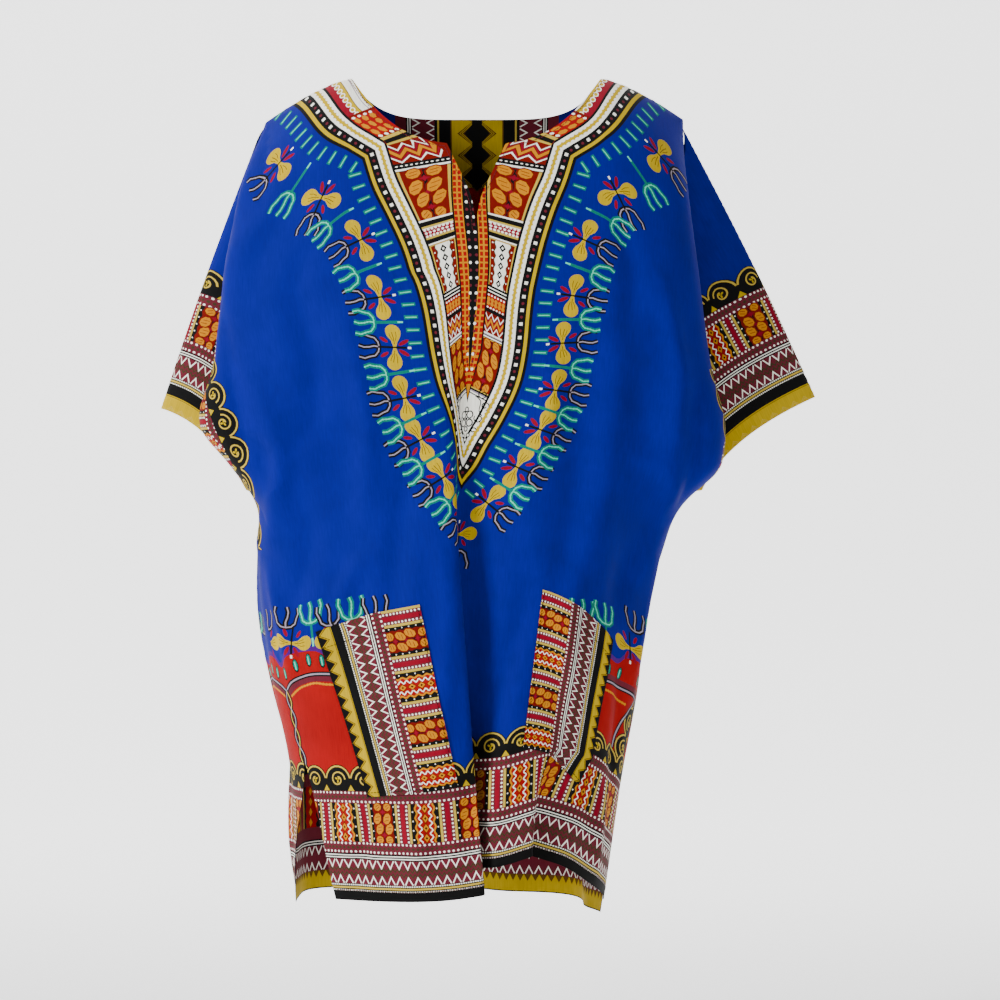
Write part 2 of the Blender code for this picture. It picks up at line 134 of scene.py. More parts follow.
BACK_WAVES = (
    (-0.170, 0.300, 0.900, 0.034, 0.0110), (-0.105, 0.240, 0.900, 0.032, -0.0100),
    (-0.040, 0.330, 0.900, 0.034, 0.0120), (0.025, 0.200, 0.900, 0.034, -0.0120),
    (0.090, 0.300, 0.900, 0.034, 0.0110), (0.150, 0.260, 0.900, 0.030, -0.0100),
)
HEM_COLUMNS = ("across", "rise")
HEM_RISES = (
    (-0.300, -0.022), (-0.200, -0.017), (-0.060, -0.010), (-0.030, -0.004), (0.000, 0.008),
    (0.050, 0.017), (0.100, 0.028), (0.140, 0.018), (0.190, -0.006), (0.260, -0.030),
)
SLEEVES = {
    "sleeve_left": (-1, 0.298, -0.311, 0.253, -0.337, 0.216, -0.388),
    "sleeve_right": (1, 0.320, -0.300, 0.250, -0.341, 0.212, -0.388),
}
SLEEVE_HALF_DEPTH = 0.020
SLEEVE_MIDDLE = 0.001
SLEEVE_LOW = -0.012
SLEEVE_BULGE = 0.003
SLEEVE_TOP = 0.006
SLEEVE_ROOT_HALF = 0.0045
SLEEVE_CLEAR = 0.0042
SLEEVE_PINCH = 1.6
SLEEVE_CAP_GROWN = 0.064
SLEEVE_SEAM_TURN = 0.40
POCKETS = {
    "pocket_left": ((-0.182, 0.497), (-0.0815, 0.483), (-0.061, 0.645), (-0.1455, 0.651)),
    "pocket_right": ((0.081, 0.496), (0.1535, 0.532), (0.140, 0.675), (0.0695, 0.643)),
}
ARC_LEVELS = 241
ARC_STEPS = 161
ARC_SAMPLES = 483
ARC_POWER = 1.6
STEP = 0.001

# Small creases of the cloth, in millimetres on the flat: one end, the other end, half width, and
# how far each stands out before it is scaled. The margin is how near the edges they fade, in metres
CREASE_SCALE = 3.3
CREASE_MARGIN = 0.030
FRONT_CREASES = (
    (-190, 70, -235, 190, 16, 1.6), (-150, 150, -175, 330, 14, -1.5),
    (-118, 210, -128, 420, 12, 1.4), (-205, 250, -215, 420, 13, 1.6),
    (-232, 180, -240, 330, 9, -1.5), (-180, 340, -205, 500, 16, -1.8),
    (-90, 330, -100, 560, 13, -1.5), (-60, 400, -66, 640, 11, 1.5), (-140, 430, -150, 500, 12, 1.4),
    (-225, 420, -222, 560, 10, 1.6), (-236, 300, -200, 350, 12, -1.6),
    (-40, 560, -52, 735, 9, -1.4), (-105, 650, -112, 742, 12, 1.6),
    (-160, 655, -158, 744, 11, -1.5), (72, 250, 66, 430, 11, 1.3), (128, 120, 150, 260, 13, -1.4),
    (178, 160, 196, 350, 12, 1.8), (185, 330, 160, 520, 15, -2.0), (215, 250, 205, 400, 10, -1.6),
    (118, 400, 112, 640, 12, 1.7), (60, 450, 52, 640, 12, -1.6), (205, 420, 195, 580, 11, 1.8),
    (225, 380, 150, 340, 13, 1.6), (160, 540, 190, 690, 10, -1.7), (40, 650, 38, 742, 8, 1.4),
    (175, 640, 190, 742, 10, 1.7), (0, 420, 14, 640, 9, 1.2),
)
BACK_CREASES = (
    (-150, 60, -205, 200, 17, 1.8), (150, 60, 190, 210, 16, 1.7), (-70, 50, -95, 240, 18, -1.6),
    (60, 60, 82, 250, 17, -1.6), (-10, 120, -4, 330, 14, 1.5), (-200, 220, -235, 380, 14, -1.9),
    (195, 230, 205, 380, 14, -1.8), (-270, 400, -255, 600, 13, 1.9),
    (-210, 420, -205, 620, 12, -1.7), (-140, 300, -138, 520, 12, 1.5),
    (-75, 420, -70, 640, 11, -1.5), (120, 300, 118, 500, 12, -1.6), (55, 380, 60, 600, 11, 1.5),
    (170, 420, 160, 610, 11, 1.7), (-240, 620, -238, 740, 12, 1.8), (-10, 560, -8, 740, 11, 1.5),
    (125, 600, 130, 742, 11, -1.6),
)

# Base colours of the print, as shares of the light that the cloth gives back
PALETTE = {
    "blue": (0.000, 0.003, 0.185),
    "black": (0.002, 0.002, 0.002),
    "cream": (0.930, 0.900, 0.800),
    "yellow": (0.470, 0.320, 0.000),
    "orange": (0.520, 0.190, 0.000),
    "red": (0.290, 0.000, 0.001),
    "crimson": (0.220, 0.000, 0.012),
    "maroon": (0.115, 0.010, 0.020),
    "rust": (0.150, 0.002, 0.000),
    "tan": (0.500, 0.350, 0.045),
    "olive": (0.038, 0.030, 0.012),
    "teal": (0.000, 0.150, 0.105),
    "mint": (0.080, 0.600, 0.400),
    "grey": (0.290, 0.240, 0.300),
    "purple": (0.055, 0.002, 0.150),
    "shade": (0.100, 0.045, 0.003),
}

# Fineness of the cloth's mesh and of the print, in millimetres
GRID = 6.5
INSIDE_GRID = 7.5
ROW_SHARE = 0.866
EDGE = 6.0
OUTLINE_STEP = 4.0
NECK_STEP = 3.0
SIDE_SAMPLES = 700
TOP_SAMPLES = 4001
HEM_SAMPLES = 400
NECK_SAMPLES = 2001
TURN_SAMPLES = 721
SLEEVE_STEP = 0.02
LEAST_AREA = 0.05
JOIN_WITHIN = 1e-5
CLAIM_SHARE = 1.6
CLAIM_SPARE = 2.0
SLEEVE_GRIDS = (4.0, 4.0)
POCKET_GRIDS = (4.5, 8.0)
INSIDE_LEAST = {"front": 14.0, "back": 5.0}

# Stitches, in millimetres
STITCH_LONG = 2.3
STITCH_WIDE = 0.5
STITCH_HIGH = 0.3
STITCH_PITCH = 3.3
STITCH_FACES = ((0, 2, 4, 6), (1, 7, 5, 3), (0, 1, 3, 2), (2, 3, 5, 4), (4, 5, 7, 6), (6, 7, 1, 0))
NECK_ROW = 3.0
HEM_ROW = 9.0
POCKET_ROW = 4.0
POCKET_TOP_ROW = 14.0


def read(table, columns, name, at):
    """A column of a table at any place, on a smooth curve through its rows."""
    rows = np.array(table, float)
    xs = rows[:, 0]
    ys = rows[:, columns.index(name)]
    slopes = np.gradient(ys, xs)
    at = np.clip(at, xs[0], xs[-1])
    i = np.clip(np.searchsorted(xs, at) - 1, 0, len(xs) - 2)
    step = xs[i + 1] - xs[i]
    t = (at - xs[i]) / step
    start = (2 * t**3 - 3 * t**2 + 1) * ys[i] + (t**3 - 2 * t**2 + t) * step * slopes[i]
    end = (3 * t**2 - 2 * t**3) * ys[i + 1] + (t**3 - t**2) * step * slopes[i + 1]
    return start + end


def section(name, below):
    return read(SECTIONS, SECTION_COLUMNS, name, below)


def ease(x):
    """0 up to 0, 1 from 1 on, and smooth between."""
    x = np.clip(x, 0.0, 1.0)
    return x * x * (3 - 2 * x)


def rounded(below):
    """Share of the full depth reached at a distance below the shoulder line."""
    return np.sqrt(1 - np.exp(-np.maximum(below, 0.0) / SHOULDER_ROUND))


def level_point(side, angle, reach, jut, power, middle, forward, backward):
    """Plan point on one rounded level, at an angle from its widest line."""
    depth = np.abs(np.sin(angle)) ** power
    wide = np.cos(angle) ** power
    y = np.where(angle < 0, middle - (forward + middle) * depth, middle + (backward - middle) * depth)
    return side * (reach * wide + jut * ease((wide - JUT_FROM) / (1 - JUT_FROM))), y


def seam_angle(panel, side, below):
    name = "seam_left" if side < 0 else "seam_right"
    angle = read(LEANS, LEAN_COLUMNS, name, below)
    if panel == "back":
        opened = ease((below - SLIT_SIDE_START) / (LENGTH - SLIT_SIDE_START))
        closed = read(LEANS, LEAN_COLUMNS, name, np.minimum(below, SLIT_SIDE_START))
        angle = closed + (SLIT_BACK_ANGLES[side] - closed) * opened
    return np.radians(angle)


def section_point(panel, side, below, share):
    """Plan point of a panel: side is -1 or 1, share runs from its middle out to its edge."""
    zone = ease((below - ZONE_START) / (ZONE_END - ZONE_START))
    grown = ease(below / CURL_GROWN)
    front = section("front", below) * rounded(below)
    back = section("back", below) * rounded(below)
    reach = section("left" if side < 0 else "right", below)
    jut = section("jut_left" if side < 0 else "jut_right", below)
    power = 2 / section("square", below)
    turn = 1.0 if panel == "front" else -1.0
    centre = -turn * math.pi / 2
    # Above the underarm the panel curls round into the armhole
    curled = turn * math.radians(CURL_ANGLE) * grown
    angle = centre + (curled - centre) * share
    if panel == "front":
        middle = -FRONT_RIDGE * grown
        upper = level_point(side, angle, reach, jut, power, middle, front, middle + CURL * grown)
    else:
        middle = BACK_RIDGE * grown
        inset = reach - BACK_INSET * grown
        upper = level_point(side, angle, inset, 0.0, power, middle, CURL * grown - middle, back)
    # Below it the front and back share one level and meet at the side seam
    angle = centre + (seam_angle(panel, side, below) - centre) * share
    middle = read(LEANS, LEAN_COLUMNS, "middle", below)
    lower = level_point(side, angle, reach, 0.0, power, middle, front, back)
    x = upper[0] * (1 - zone) + lower[0] * zone
    y = upper[1] * (1 - zone) + lower[1] * zone
    return x, y - turn * SEAM_GAP / 2 * (1 - zone)


def arc_table(panel, side):
    """For evenly spaced levels: the share that lies each part of the way out, and the whole way."""
    levels = np.linspace(0, LENGTH, ARC_LEVELS)
    share = np.linspace(0, 1, ARC_SAMPLES) ** ARC_POWER
    parts = np.linspace(0, 1, ARC_STEPS)
    shares = np.empty((ARC_LEVELS, ARC_STEPS))
    totals = np.empty(ARC_LEVELS)
    for k, level in enumerate(levels):
        x, y = section_point(panel, side, np.full(share.shape, level), share)
        way = np.concatenate([[0], np.cumsum(np.hypot(np.diff(x), np.diff(y)))])
        totals[k] = way[-1]
        shares[k] = np.interp(parts * way[-1], way, share)
    return shares, totals


ARCS = {(panel, side): arc_table(panel, side) for panel in ("front", "back") for side in (-1, 1)}


def total_arc(panel, side, below):
    place = np.clip(below / LENGTH, 0, 1) * (ARC_LEVELS - 1)
    return np.interp(place, np.arange(ARC_LEVELS), ARCS[panel, side][1])


def share_at(panel, side, below, arc):
    """The share of a level's way out that lies a length of arc from the middle of the panel."""
    shares = ARCS[panel, side][0]
    row = np.clip(below / LENGTH, 0, 1) * (ARC_LEVELS - 1)
    column = np.clip(arc / total_arc(panel, side, below), 0, 1) * (ARC_STEPS - 1)
    r = np.minimum(row.astype(int), ARC_LEVELS - 2)
    c = np.minimum(column.astype(int), ARC_STEPS - 2)
    fr = row - r
    fc = column - c
    upper = shares[r, c] * (1 - fc) + shares[r, c + 1] * fc
    lower = shares[r + 1, c] * (1 - fc) + shares[r + 1, c + 1] * fc
    return upper * (1 - fr) + lower * fr


def fold_growth(fold, below):
    start = fold[FOLD_COLUMNS.index("start")]
    grown = fold[FOLD_COLUMNS.index("grown")]
    return np.clip((below - start) / (grown - start), 0, 1)


def taken_up(fold, below):
    """Length of cloth that a fold hides at a level."""
    return fold[FOLD_COLUMNS.index("take_up")] * fold_growth(fold, below) ** TAKE_UP_POWER


def folded(across, below):
    """How far the folds of the front shift the cloth along the body, and out from it."""
    along = np.zeros_like(across)
    out = np.zeros_like(across)
    for fold in FRONT_FOLDS:
        at, _, _, _, depth, half, tail_top, tail_hem, lip = fold
        growth = fold_growth(fold, below)
        tail = tail_top + (tail_hem - tail_top) * growth
        past = ease((across - at + half) / (2 * half))
        back_out = 1 - ease((across - at - half) / tail)
        if at < 0:
            along += taken_up(fold, below) * (1 - past)
        else:
            along -= taken_up(fold, below) * past
        raised = ease((across - at + LIP_FROM * half) / ((LIP_FROM - LIP_TO) * half))
        out -= depth * growth**DEPTH_POWER * past * back_out
        out += lip * np.sqrt(growth) * (1 - past) * raised
    return along, out


def waved(waves, across, below):
    out = np.zeros_like(across)
    for at, start, end, half, height in waves:
        along = np.clip((below - start) / (end - start), 0, 1)
        fade = np.sin(math.pi * np.minimum(along, 0.5)) if end > LENGTH else np.sin(math.pi * along)
        out += height * fade * np.exp(-(((across - at) / half) ** 2))
    return out


def creased(panel, across, below):
    """How far small creases lift the cloth, which is held flat along its seams."""
    creases = FRONT_CREASES if panel == "front" else BACK_CREASES
    x = across / MM
    y = below / MM
    out = np.zeros_like(x)
    for x0, y0, x1, y1, half, height in creases:
        length = math.hypot(x1 - x0, y1 - y0)
        ux, uy = (x1 - x0) / length, (y1 - y0) / length
        along = ((x - x0) * ux + (y - y0) * uy) / length
        bow = half * 0.6 * np.sin(along * math.pi * 1.7 + x0)
        off = (x - x0) * uy - (y - y0) * ux + bow
        fade = np.sin(math.pi * np.clip(along, 0, 1)) ** 0.8
        out += CREASE_SCALE * height * MM * fade * np.exp(-((off / half) ** 2))
    left = cloth_end(panel, -1, below)
    right = cloth_end(panel, 1, below)
    return out * ease(np.minimum(across - left, right - across) / CREASE_MARGIN)


def hem_share(below):
    """0 where a level follows the shoulder line, 1 where it follows the hem."""
    return ease((below - HEM_BLEND_START) / (HEM_BLEND_END - HEM_BLEND_START))


def sloped(panel, across, below):
    """Height of the cloth: down from the sloping shoulder line, to a hem that isn't level."""
    out = np.clip((np.abs(across) - NECK_HALF) / (SHOULDER_END - NECK_HALF), 0, 1)
    drop = SHOULDER_DROP * out**SHOULDER_CURVE
    blend = hem_share(below)
    if panel == "front":
        rise = read(HEM_RISES, HEM_COLUMNS, "rise", across)
        return -below - drop * (1 - blend) + rise * blend
    left = read(HEM_RISES, HEM_COLUMNS, "rise", cloth_end("front", -1, below))
    right = read(HEM_RISES, HEM_COLUMNS, "rise", cloth_end("front", 1, below))
    share = ease((across + SHOULDER_END) / (2 * SHOULDER_END))
    rise = left * (1 - share) + right * share
    extra = BACK_DROP * ease((below - SLIT_SIDE_START) / (LENGTH - SLIT_SIDE_START))
    return -below - drop * (1 - blend) + rise * blend - extra


def base_point(panel, arc, below):
    """Plan point of a level before its folds, at a length of arc from the middle."""
    left = section_point(panel, -1, below, share_at(panel, -1, below, -arc))
    right = section_point(panel, 1, below, share_at(panel, 1, below, arc))
    return np.where(arc < 0, left[0], right[0]), np.where(arc < 0, left[1], right[1])


def surface(panel, across, below):
    """Middle surface of the front or back cloth, at cloth coordinates in metres."""
    across, below = np.broadcast_arrays(np.asarray(across, float), np.asarray(below, float))
    if panel == "front":
        along, out = folded(across, below)
        arc = across + along + read(LEANS, LEAN_COLUMNS, "lean", below)
        out = out + waved(FRONT_WAVES, across, below)
        out = out + creased("front", across, below)
    else:
        arc = across
        out = waved(BACK_WAVES, across, below) + creased("back", across, below)
    x, y = base_point(panel, arc, below)
    ahead = base_point(panel, arc + STEP, below)
    behind = base_point(panel, arc - STEP, below)
    tx = ahead[0] - behind[0]
    ty = ahead[1] - behind[1]
    size = np.maximum(np.hypot(tx, ty), 1e-9)
    turn = 1.0 if panel == "front" else -1.0
    out = out * ease(below / CURL_GROWN)
    z = sloped(panel, across, below)
    return np.stack([x + turn * ty / size * out, y - turn * tx / size * out, z], axis=-1)


def surface_normal(panel, across, below):
    """Outward unit normal of a panel's middle surface."""
    wide = surface(panel, across + STEP, below) - surface(panel, across - STEP, below)
    down = surface(panel, across, below + STEP) - surface(panel, across, np.maximum(below - STEP, 0))
    normal = np.cross(down, wide)
    if panel == "back":
        normal = -normal
    return normal / np.maximum(np.linalg.norm(normal, axis=-1, keepdims=True), 1e-12)


def cloth_end(panel, side, below):
    """Cloth coordinate of a panel's left or right edge."""
    edge = side * (total_arc(panel, side, below) - SEAM_GAP / 2)
    if panel == "back":
        return edge
    take = sum(taken_up(fold, below) for fold in FRONT_FOLDS if (fold[0] < 0) == (side < 0))
    return edge - read(LEANS, LEAN_COLUMNS, "lean", below) + side * take


def top_edge(panel, across):
    """Distance below the shoulder line of the panel's upper edge: neckline, then shoulder."""
    size = np.abs(across)
    if panel == "back":
        return NECK_DROP_BACK * (1 - np.minimum(size / NECK_HALF, 1) ** NECK_ROUND_BACK)
    neck = NECK_DROP_FRONT * (1 - np.minimum(size / NECK_HALF, 1) ** NECK_ROUND_FRONT)
    # The slit is a straight-sided V that ends in a narrow tail
    inward = 1 - np.minimum(size / SLIT_HALF, 1)
    share = SLIT_OPEN * inward + (1 - SLIT_OPEN) * inward**SLIT_TAIL_POWER
    return neck + (SLIT_END - NECK_DROP_FRONT) * share


def sleeve_ends(name, turn):
    """The sleeve's root and hem at angles round it: 0 on top, then by the front."""
    side, tip_x, tip_z, mid_x, mid_z, low_x, low_z = SLEEVES[name]
    front = np.sin(turn) >= 0
    half = (ARMHOLE_BOTTOM - SLEEVE_TOP) / 2
    below = SLEEVE_TOP + half * (1 - np.cos(turn))
    fx, fy = section_point("front", side, below, 1.0)
    bx, by = section_point("back", side, below, 1.0)
    reach = section("left" if side < 0 else "right", below)
    away = 1 - ease(below / SLEEVE_CAP_GROWN)
    x = np.where(front, np.abs(fx), np.abs(bx)) + SLEEVE_CLEAR / 2
    x = x + (reach + SLEEVE_CLEAR - x) * away
    off_top = np.minimum(turn, 2 * math.pi - turn)
    x = x - (SLEEVE_CLEAR - SEAM_GAP) * np.exp(-((off_top / SLEEVE_SEAM_TURN) ** 2))
    half_open = np.maximum((by - fy) / 2 - SLEEVE_CLEAR, SLEEVE_ROOT_HALF)
    pinch = np.sqrt(np.minimum(SLEEVE_PINCH * np.abs(np.sin(turn)), 1))
    y = (fy + by) / 2 - np.where(front, 1, -1) * half_open * pinch
    z = -below - SHOULDER_DROP * (1 - hem_share(below))
    root = np.stack([side * x, y, z], axis=-1)
    along = (1 - np.cos(turn)) / 2
    hem_x = tip_x * (1 - along) ** 2 + (4 * mid_x - tip_x - low_x) * along * (1 - along) + low_x * along**2
    hem_z = tip_z * (1 - along) ** 2 + (4 * mid_z - tip_z - low_z) * along * (1 - along) + low_z * along**2
    hem_middle = SLEEVE_MIDDLE + (SLEEVE_LOW - SLEEVE_MIDDLE) * along**2
    hem_y = hem_middle - SLEEVE_HALF_DEPTH * np.sin(turn)
    return root, np.stack([side * hem_x, hem_y, hem_z], axis=-1), along


def pairs(x, y):
    """Flat points from their two coordinates."""
    return np.stack([x, y], axis=1)


def smooth(points, step=3.0, closed=False):
    """A smooth path through a few points, with a point about every step."""
    points = np.array(points, float)
    if closed:
        run = np.concatenate([points[-1:], points, points[:2]])
    else:
        run = np.concatenate([2 * points[:1] - points[1:2], points, 2 * points[-1:] - points[-2:-1]])
    path = []
    for a, b, c, d in zip(run[:-3], run[1:-2], run[2:-1], run[3:]):
        count = max(1, int(round(np.hypot(*(c - b)) / step)))
        for t in np.arange(count) / count:
            point = b + (c - a) / 2 * t
            point = point + (a - 2.5 * b + 2 * c - d / 2) * t**2
            path.append(point + (1.5 * (b - c) + (d - a) / 2) * t**3)
    if not closed:
        path.append(points[-1])
    return np.array(path)


def divided(points, step=EDGE):
    """A closed outline with no edge much longer than a step."""
    points = np.asarray(points, float)
    following = np.roll(points, -1, axis=0)
    sizes = np.hypot(*(following - points).T)
    if sizes.max() <= step * 1.5:
        return points
    out = []
    for start, end, size in zip(points, following, sizes):
        count = max(1, int(round(size / step)))
        out.extend(start + (end - start) * t for t in np.arange(count) / count)
    return np.array(out)


def way_along(path):
    """Length of a path up to each of its points."""
    return np.concatenate([[0], np.cumsum(np.hypot(*np.diff(path, axis=0).T))])


def places_at(path, way, at):
    """Points at some lengths along a path."""
    return pairs(np.interp(at, way, path[:, 0]), np.interp(at, way, path[:, 1]))


def offset(path, distance):
    """A path moved sideways, to the right hand of someone who looks down at it and walks along it."""
    step = np.diff(path, axis=0)
    normal = pairs(-step[:, 1], step[:, 0])
    normal /= np.maximum(np.hypot(*normal.T), 1e-9)[:, None]
    before = np.concatenate([normal[:1], normal])
    after = np.concatenate([normal, normal[-1:]])
    total = before + after
    spread = np.maximum(np.sum(total * total, axis=1), 0.8)
    return path + total * (2 * distance / spread)[:, None]


def inset(path, distance):
    """A path moved sideways, without the loops that form where it turns more tightly than that."""
    moved = offset(path, distance)
    way = way_along(path)
    dense = places_at(path, way, np.arange(0, way[-1], 0.5))
    gap = np.hypot(moved[:, None, 0] - dense[None, :, 0], moved[:, None, 1] - dense[None, :, 1]).min(axis=1)
    return moved[gap > abs(distance) - 0.15]


def walked(path, pitch, start=0.0):
    """Places along a path, a pitch apart, each with its direction."""
    way = way_along(path)
    at = np.arange(start, way[-1], pitch)
    run = places_at(path, way, at + 0.5) - places_at(path, way, at - 0.5)
    turns = [math.degrees(math.atan2(dy, dx)) for dx, dy in run]
    return [(x, y, turn) for (x, y), turn in zip(places_at(path, way, at), turns)]


def even(path, step=OUTLINE_STEP):
    """A path with places about a step apart, its own ends kept."""
    way = way_along(path)
    return places_at(path, way, np.linspace(0, way[-1], max(2, int(way[-1] / step))))


class Pen:
    """Lays shapes of the print one over another, in millimetres, through a mapping to the cloth."""

    def __init__(self, shapes, place=lambda points: points):
        self.shapes = shapes
        self.place = place

    def mapped(self, mapping):
        return Pen(self.shapes, lambda points: self.place(mapping(points)))

    def at(self, x=0.0, y=0.0, turn=0.0, wide=1.0, high=None):
        """A pen with its middle at a place of this one, turned by some degrees and scaled."""
        high = wide if high is None else high
        c = math.cos(math.radians(turn))
        s = math.sin(math.radians(turn))

        def mapping(points):
            px = points[:, 0] * wide
            py = points[:, 1] * high
            return pairs(x + c * px - s * py, y + s * px + c * py)

        return self.mapped(mapping)

    def halves(self):
        """A pen that draws mirrored, then one that doesn't."""
        return [self.at(0, 0, 0, flip, 1) for flip in (-1, 1)]

    def fill(self, colour, points):
        self.shapes.append((colour, self.place(divided(points))))

    def box(self, colour, x0, y0, x1, y1):
        self.fill(colour, [(x0, y0), (x1, y0), (x1, y1), (x0, y1)])

    def oval(self, colour, x, y, wide, high=None, sides=7):
        high = wide if high is None else high
        turn = np.arange(sides) * 2 * math.pi / sides
        self.fill(colour, pairs(x + np.cos(turn) * wide / 2, y + np.sin(turn) * high / 2))

    def dot(self, colour, x, y, wide):
        self.oval(colour, x, y, wide, wide, 5)

    def diamond(self, colour, x, y, wide, high):
        self.oval(colour, x, y, wide, high, 4)

    def line(self, colour, points, width):
        """A line of short quads along a path."""
        path = np.asarray(points, float)
        if len(path) == 2 and np.hypot(*(path[1] - path[0])) > EDGE:
            count = int(np.hypot(*(path[1] - path[0])) / EDGE) + 1
            path = path[0] + (path[1] - path[0]) * np.linspace(0, 1, count + 1)[:, None]
        left = self.place(offset(path, -width / 2))
        right = self.place(offset(path, width / 2))
        for a, b, c, d in zip(left, left[1:], right[1:], right):
            self.shapes.append((colour, np.array([a, b, c, d])))

    def dots(self, colour, path, pitch, size, start=0.0):
        for x, y, _ in walked(np.asarray(path, float), pitch, start):
            self.dot(colour, x, y, size)


# Rows of the border. Each is drawn from a start to an end along it, and from 0 to its depth across

def black_row(pen, start, end, depth):
    pen.box("black", start, 0, end, depth)


def yellow_row(pen, start, end, depth):
    """Yellow with a row of olive-edged black teeth that bite in from its outer side."""
    pen.box("yellow", start, 0, end, depth)
    pen.line("shade", [(start, depth - 0.8), (end, depth - 0.8)], 0.6)
    pitch = 11.6
    half = pitch / 2
    for x in np.arange(start, end, pitch):
        tooth = [(x - 0.6, -0.5), (x + pitch + 0.6, -0.5), (x + pitch, 3.2), (x + half, 11.0), (x, 3.2)]
        pen.fill("shade", tooth)
        pen.line("yellow", [(x + 0.4, 2.0), (x + half, 9.4), (x + pitch - 0.4, 2.0)], 0.5)
        pen.fill("black", [(x, -0.5), (x + pitch, -0.5), (x + pitch, 0.8), (x + half, 8.0), (x, 0.8)])


def plain_yellow_row(pen, start, end, depth):
    """Yellow with faint spikes along its outer side."""
    pen.box("yellow", start, 0, end, depth)
    pen.line("shade", [(start, depth - 1.2), (end, depth - 1.2)], 0.5)
    for x in np.arange(start, end, 11.6):
        for reach in (3.4, 5.2):
            pen.line("tan", [(x + 5.8 - reach, 0.2), (x + 5.8, reach), (x + 5.8 + reach, 0.2)], 0.7)


def inner_yellow_row(pen, start, end, depth):
    """Yellow at the outer side, with olive spikes that come down from its inner side."""
    pen.box("yellow", start, 0, end, depth)
    pen.line("black", [(start, 0.6), (end, 0.6)], 1.2)
    for x in np.arange(start, end, 7.0):
        pen.fill("shade", [(x, depth), (x + 3.5, depth - 6.4), (x + 7, depth)])
        pen.fill("black", [(x + 1.2, depth), (x + 3.5, depth - 3.6), (x + 5.8, depth)])


def lines_row(pen, start, end, depth):
    """A tan line between two of white dots, on black."""
    pen.box("black", start, 0, end, depth)
    pen.line("tan", [(start, depth / 2), (end, depth / 2)], 1.7)
    for y in (1.1, depth - 1.1):
        for x in np.arange(start, end, 2.1):
            pen.box("cream", x, y - 0.55, x + 1.4, y + 0.55)


def zigzag_row(pen, start, end, depth):
    """Olive zigzags on maroon between white chevrons that point at each other."""
    pitch = 8.6
    high = 7.2
    pen.box("maroon", start, 0, end, depth)
    count = int((end - start) / pitch) + 1
    k = np.arange(4 * count + 1)
    for shift in (-2.2, 2.2):
        path = pairs(start + k * pitch / 4, depth / 2 + shift + np.where(k % 2, 1.5, -1.5))
        pen.line("olive", path, 1.15)
    for x in start + (np.arange(count) + 0.5) * pitch:
        for base, tip in ((0.4, high), (depth - 0.4, depth - high)):
            pen.line("cream", [(x - 3.5, base), (x, tip), (x + 3.5, base)], 1.1)


def double_row(pen, start, end, depth):
    """Two thin white lines on black."""
    pen.box("black", start, 0, end, depth)
    for y in (depth * 0.28, depth * 0.68):
        pen.line("cream", [(start, y), (end, y)], 0.95)


def dotted_row(pen, start, end, depth):
    """White dots along both edges of a maroon band, and olive ones down its middle."""
    pen.box("maroon", start, 0, end, depth)
    for x in np.arange(start, end, 4.1):
        for y in (1.5, depth - 1.5):
            pen.dot("cream", x + 2.0, y, 2.3)
        pen.dot("olive", x, depth / 2, 2.9)


def panel_stripe(pen, depth):
    """Tan lines and white dots round a crimson line: 15 wide."""
    pen.box("tan", 0, 0, 15, depth)
    pen.box("maroon", 2.2, 0, 12.8, depth)
    pen.box("crimson", 5.7, 0, 9.3, depth)
    for y in np.arange(1.4, depth, 3.5):
        for x in (3.7, 11.3):
            pen.dot("cream", x, y, 2.2)


def wave(x, start, end, swing, pitch, phase=0.0, step=1.6):
    """A wavy path along a line of one x."""
    y = np.linspace(start, end, max(4, int(abs(end - start) / step)))
    return pairs(x + swing * np.sin(2 * math.pi * y / pitch + phase), y)


def red_panel(pen, depth):
    """Gold diamonds down a red field with white squiggles and wavy gold edges: 25 wide."""
    pen.box("black", 0, 0, 25, depth)
    edge = wave(4.6, 0, depth, 0.9, 8.2)
    other = wave(20.4, 0, depth, 0.9, 8.2, math.pi)
    pen.fill("red", np.concatenate([edge, other[::-1]]))
    for path in (edge, other):
        pen.line("orange", path, 1.5)
    for x, phase in ((7.9, 1.0), (17.1, 2.6)):
        pen.line("cream", wave(x, 0, depth, 1.3, 6.2, phase, 1.2), 1.0)
    for y in np.arange(depth / 8, depth, depth / 4):
        for colour, wide, high in (("rust", 7.0, 9.4), ("orange", 5.2, 7.2), ("black", 2.0, 2.8)):
            pen.diamond(colour, 12.5, y, wide, high)
    for y in np.arange(3.5, depth, 8.2):
        pen.dot("cream", 1.7, y, 1.5)
        pen.dot("cream", 23.3, y + 2, 1.5)


def bean(pen, x, y, wide, high, turn=0.0):
    """An orange bean with a dark outline and fine lines inside."""
    own = pen.at(x, y, turn)
    own.oval("rust", 0, 0, wide + 2.2, high + 2.2, 8)
    own.oval("orange", 0, 0, wide, high, 8)
    reach = wide * 0.26
    for shift in (-0.16, 0.16):
        vein = [(-reach, high * (shift - 0.12)), (0, high * shift), (reach, high * (shift + 0.1))]
        own.line("rust", vein, 0.5)


# Beans of a chain: off its line, share of the way along it, share of its length, and turn
BEANS = ((0, 0.08, 0.20, -12), (0.7, 0.36, 0.30, -20), (-0.9, 0.62, 0.30, -20), (0, 0.92, 0.20, 12))
BEAN_WIDE = 7.0


def bean_chain(pen, x, depth):
    """Two beans joined slantwise, between the halves of two others."""
    for off, at, high, turn in BEANS:
        bean(pen, x + off, depth * at, BEAN_WIDE, depth * high, turn)


def star(pen, x, y, size):
    """A crimson star of four points."""
    w = size * 0.17
    s = size / 2
    corners = ((s, 0), (w, w), (0, s), (-w, w), (-s, 0), (-w, -w), (0, -s), (w, -w))
    pen.fill("crimson", [(x + dx, y + dy) for dx, dy in corners])


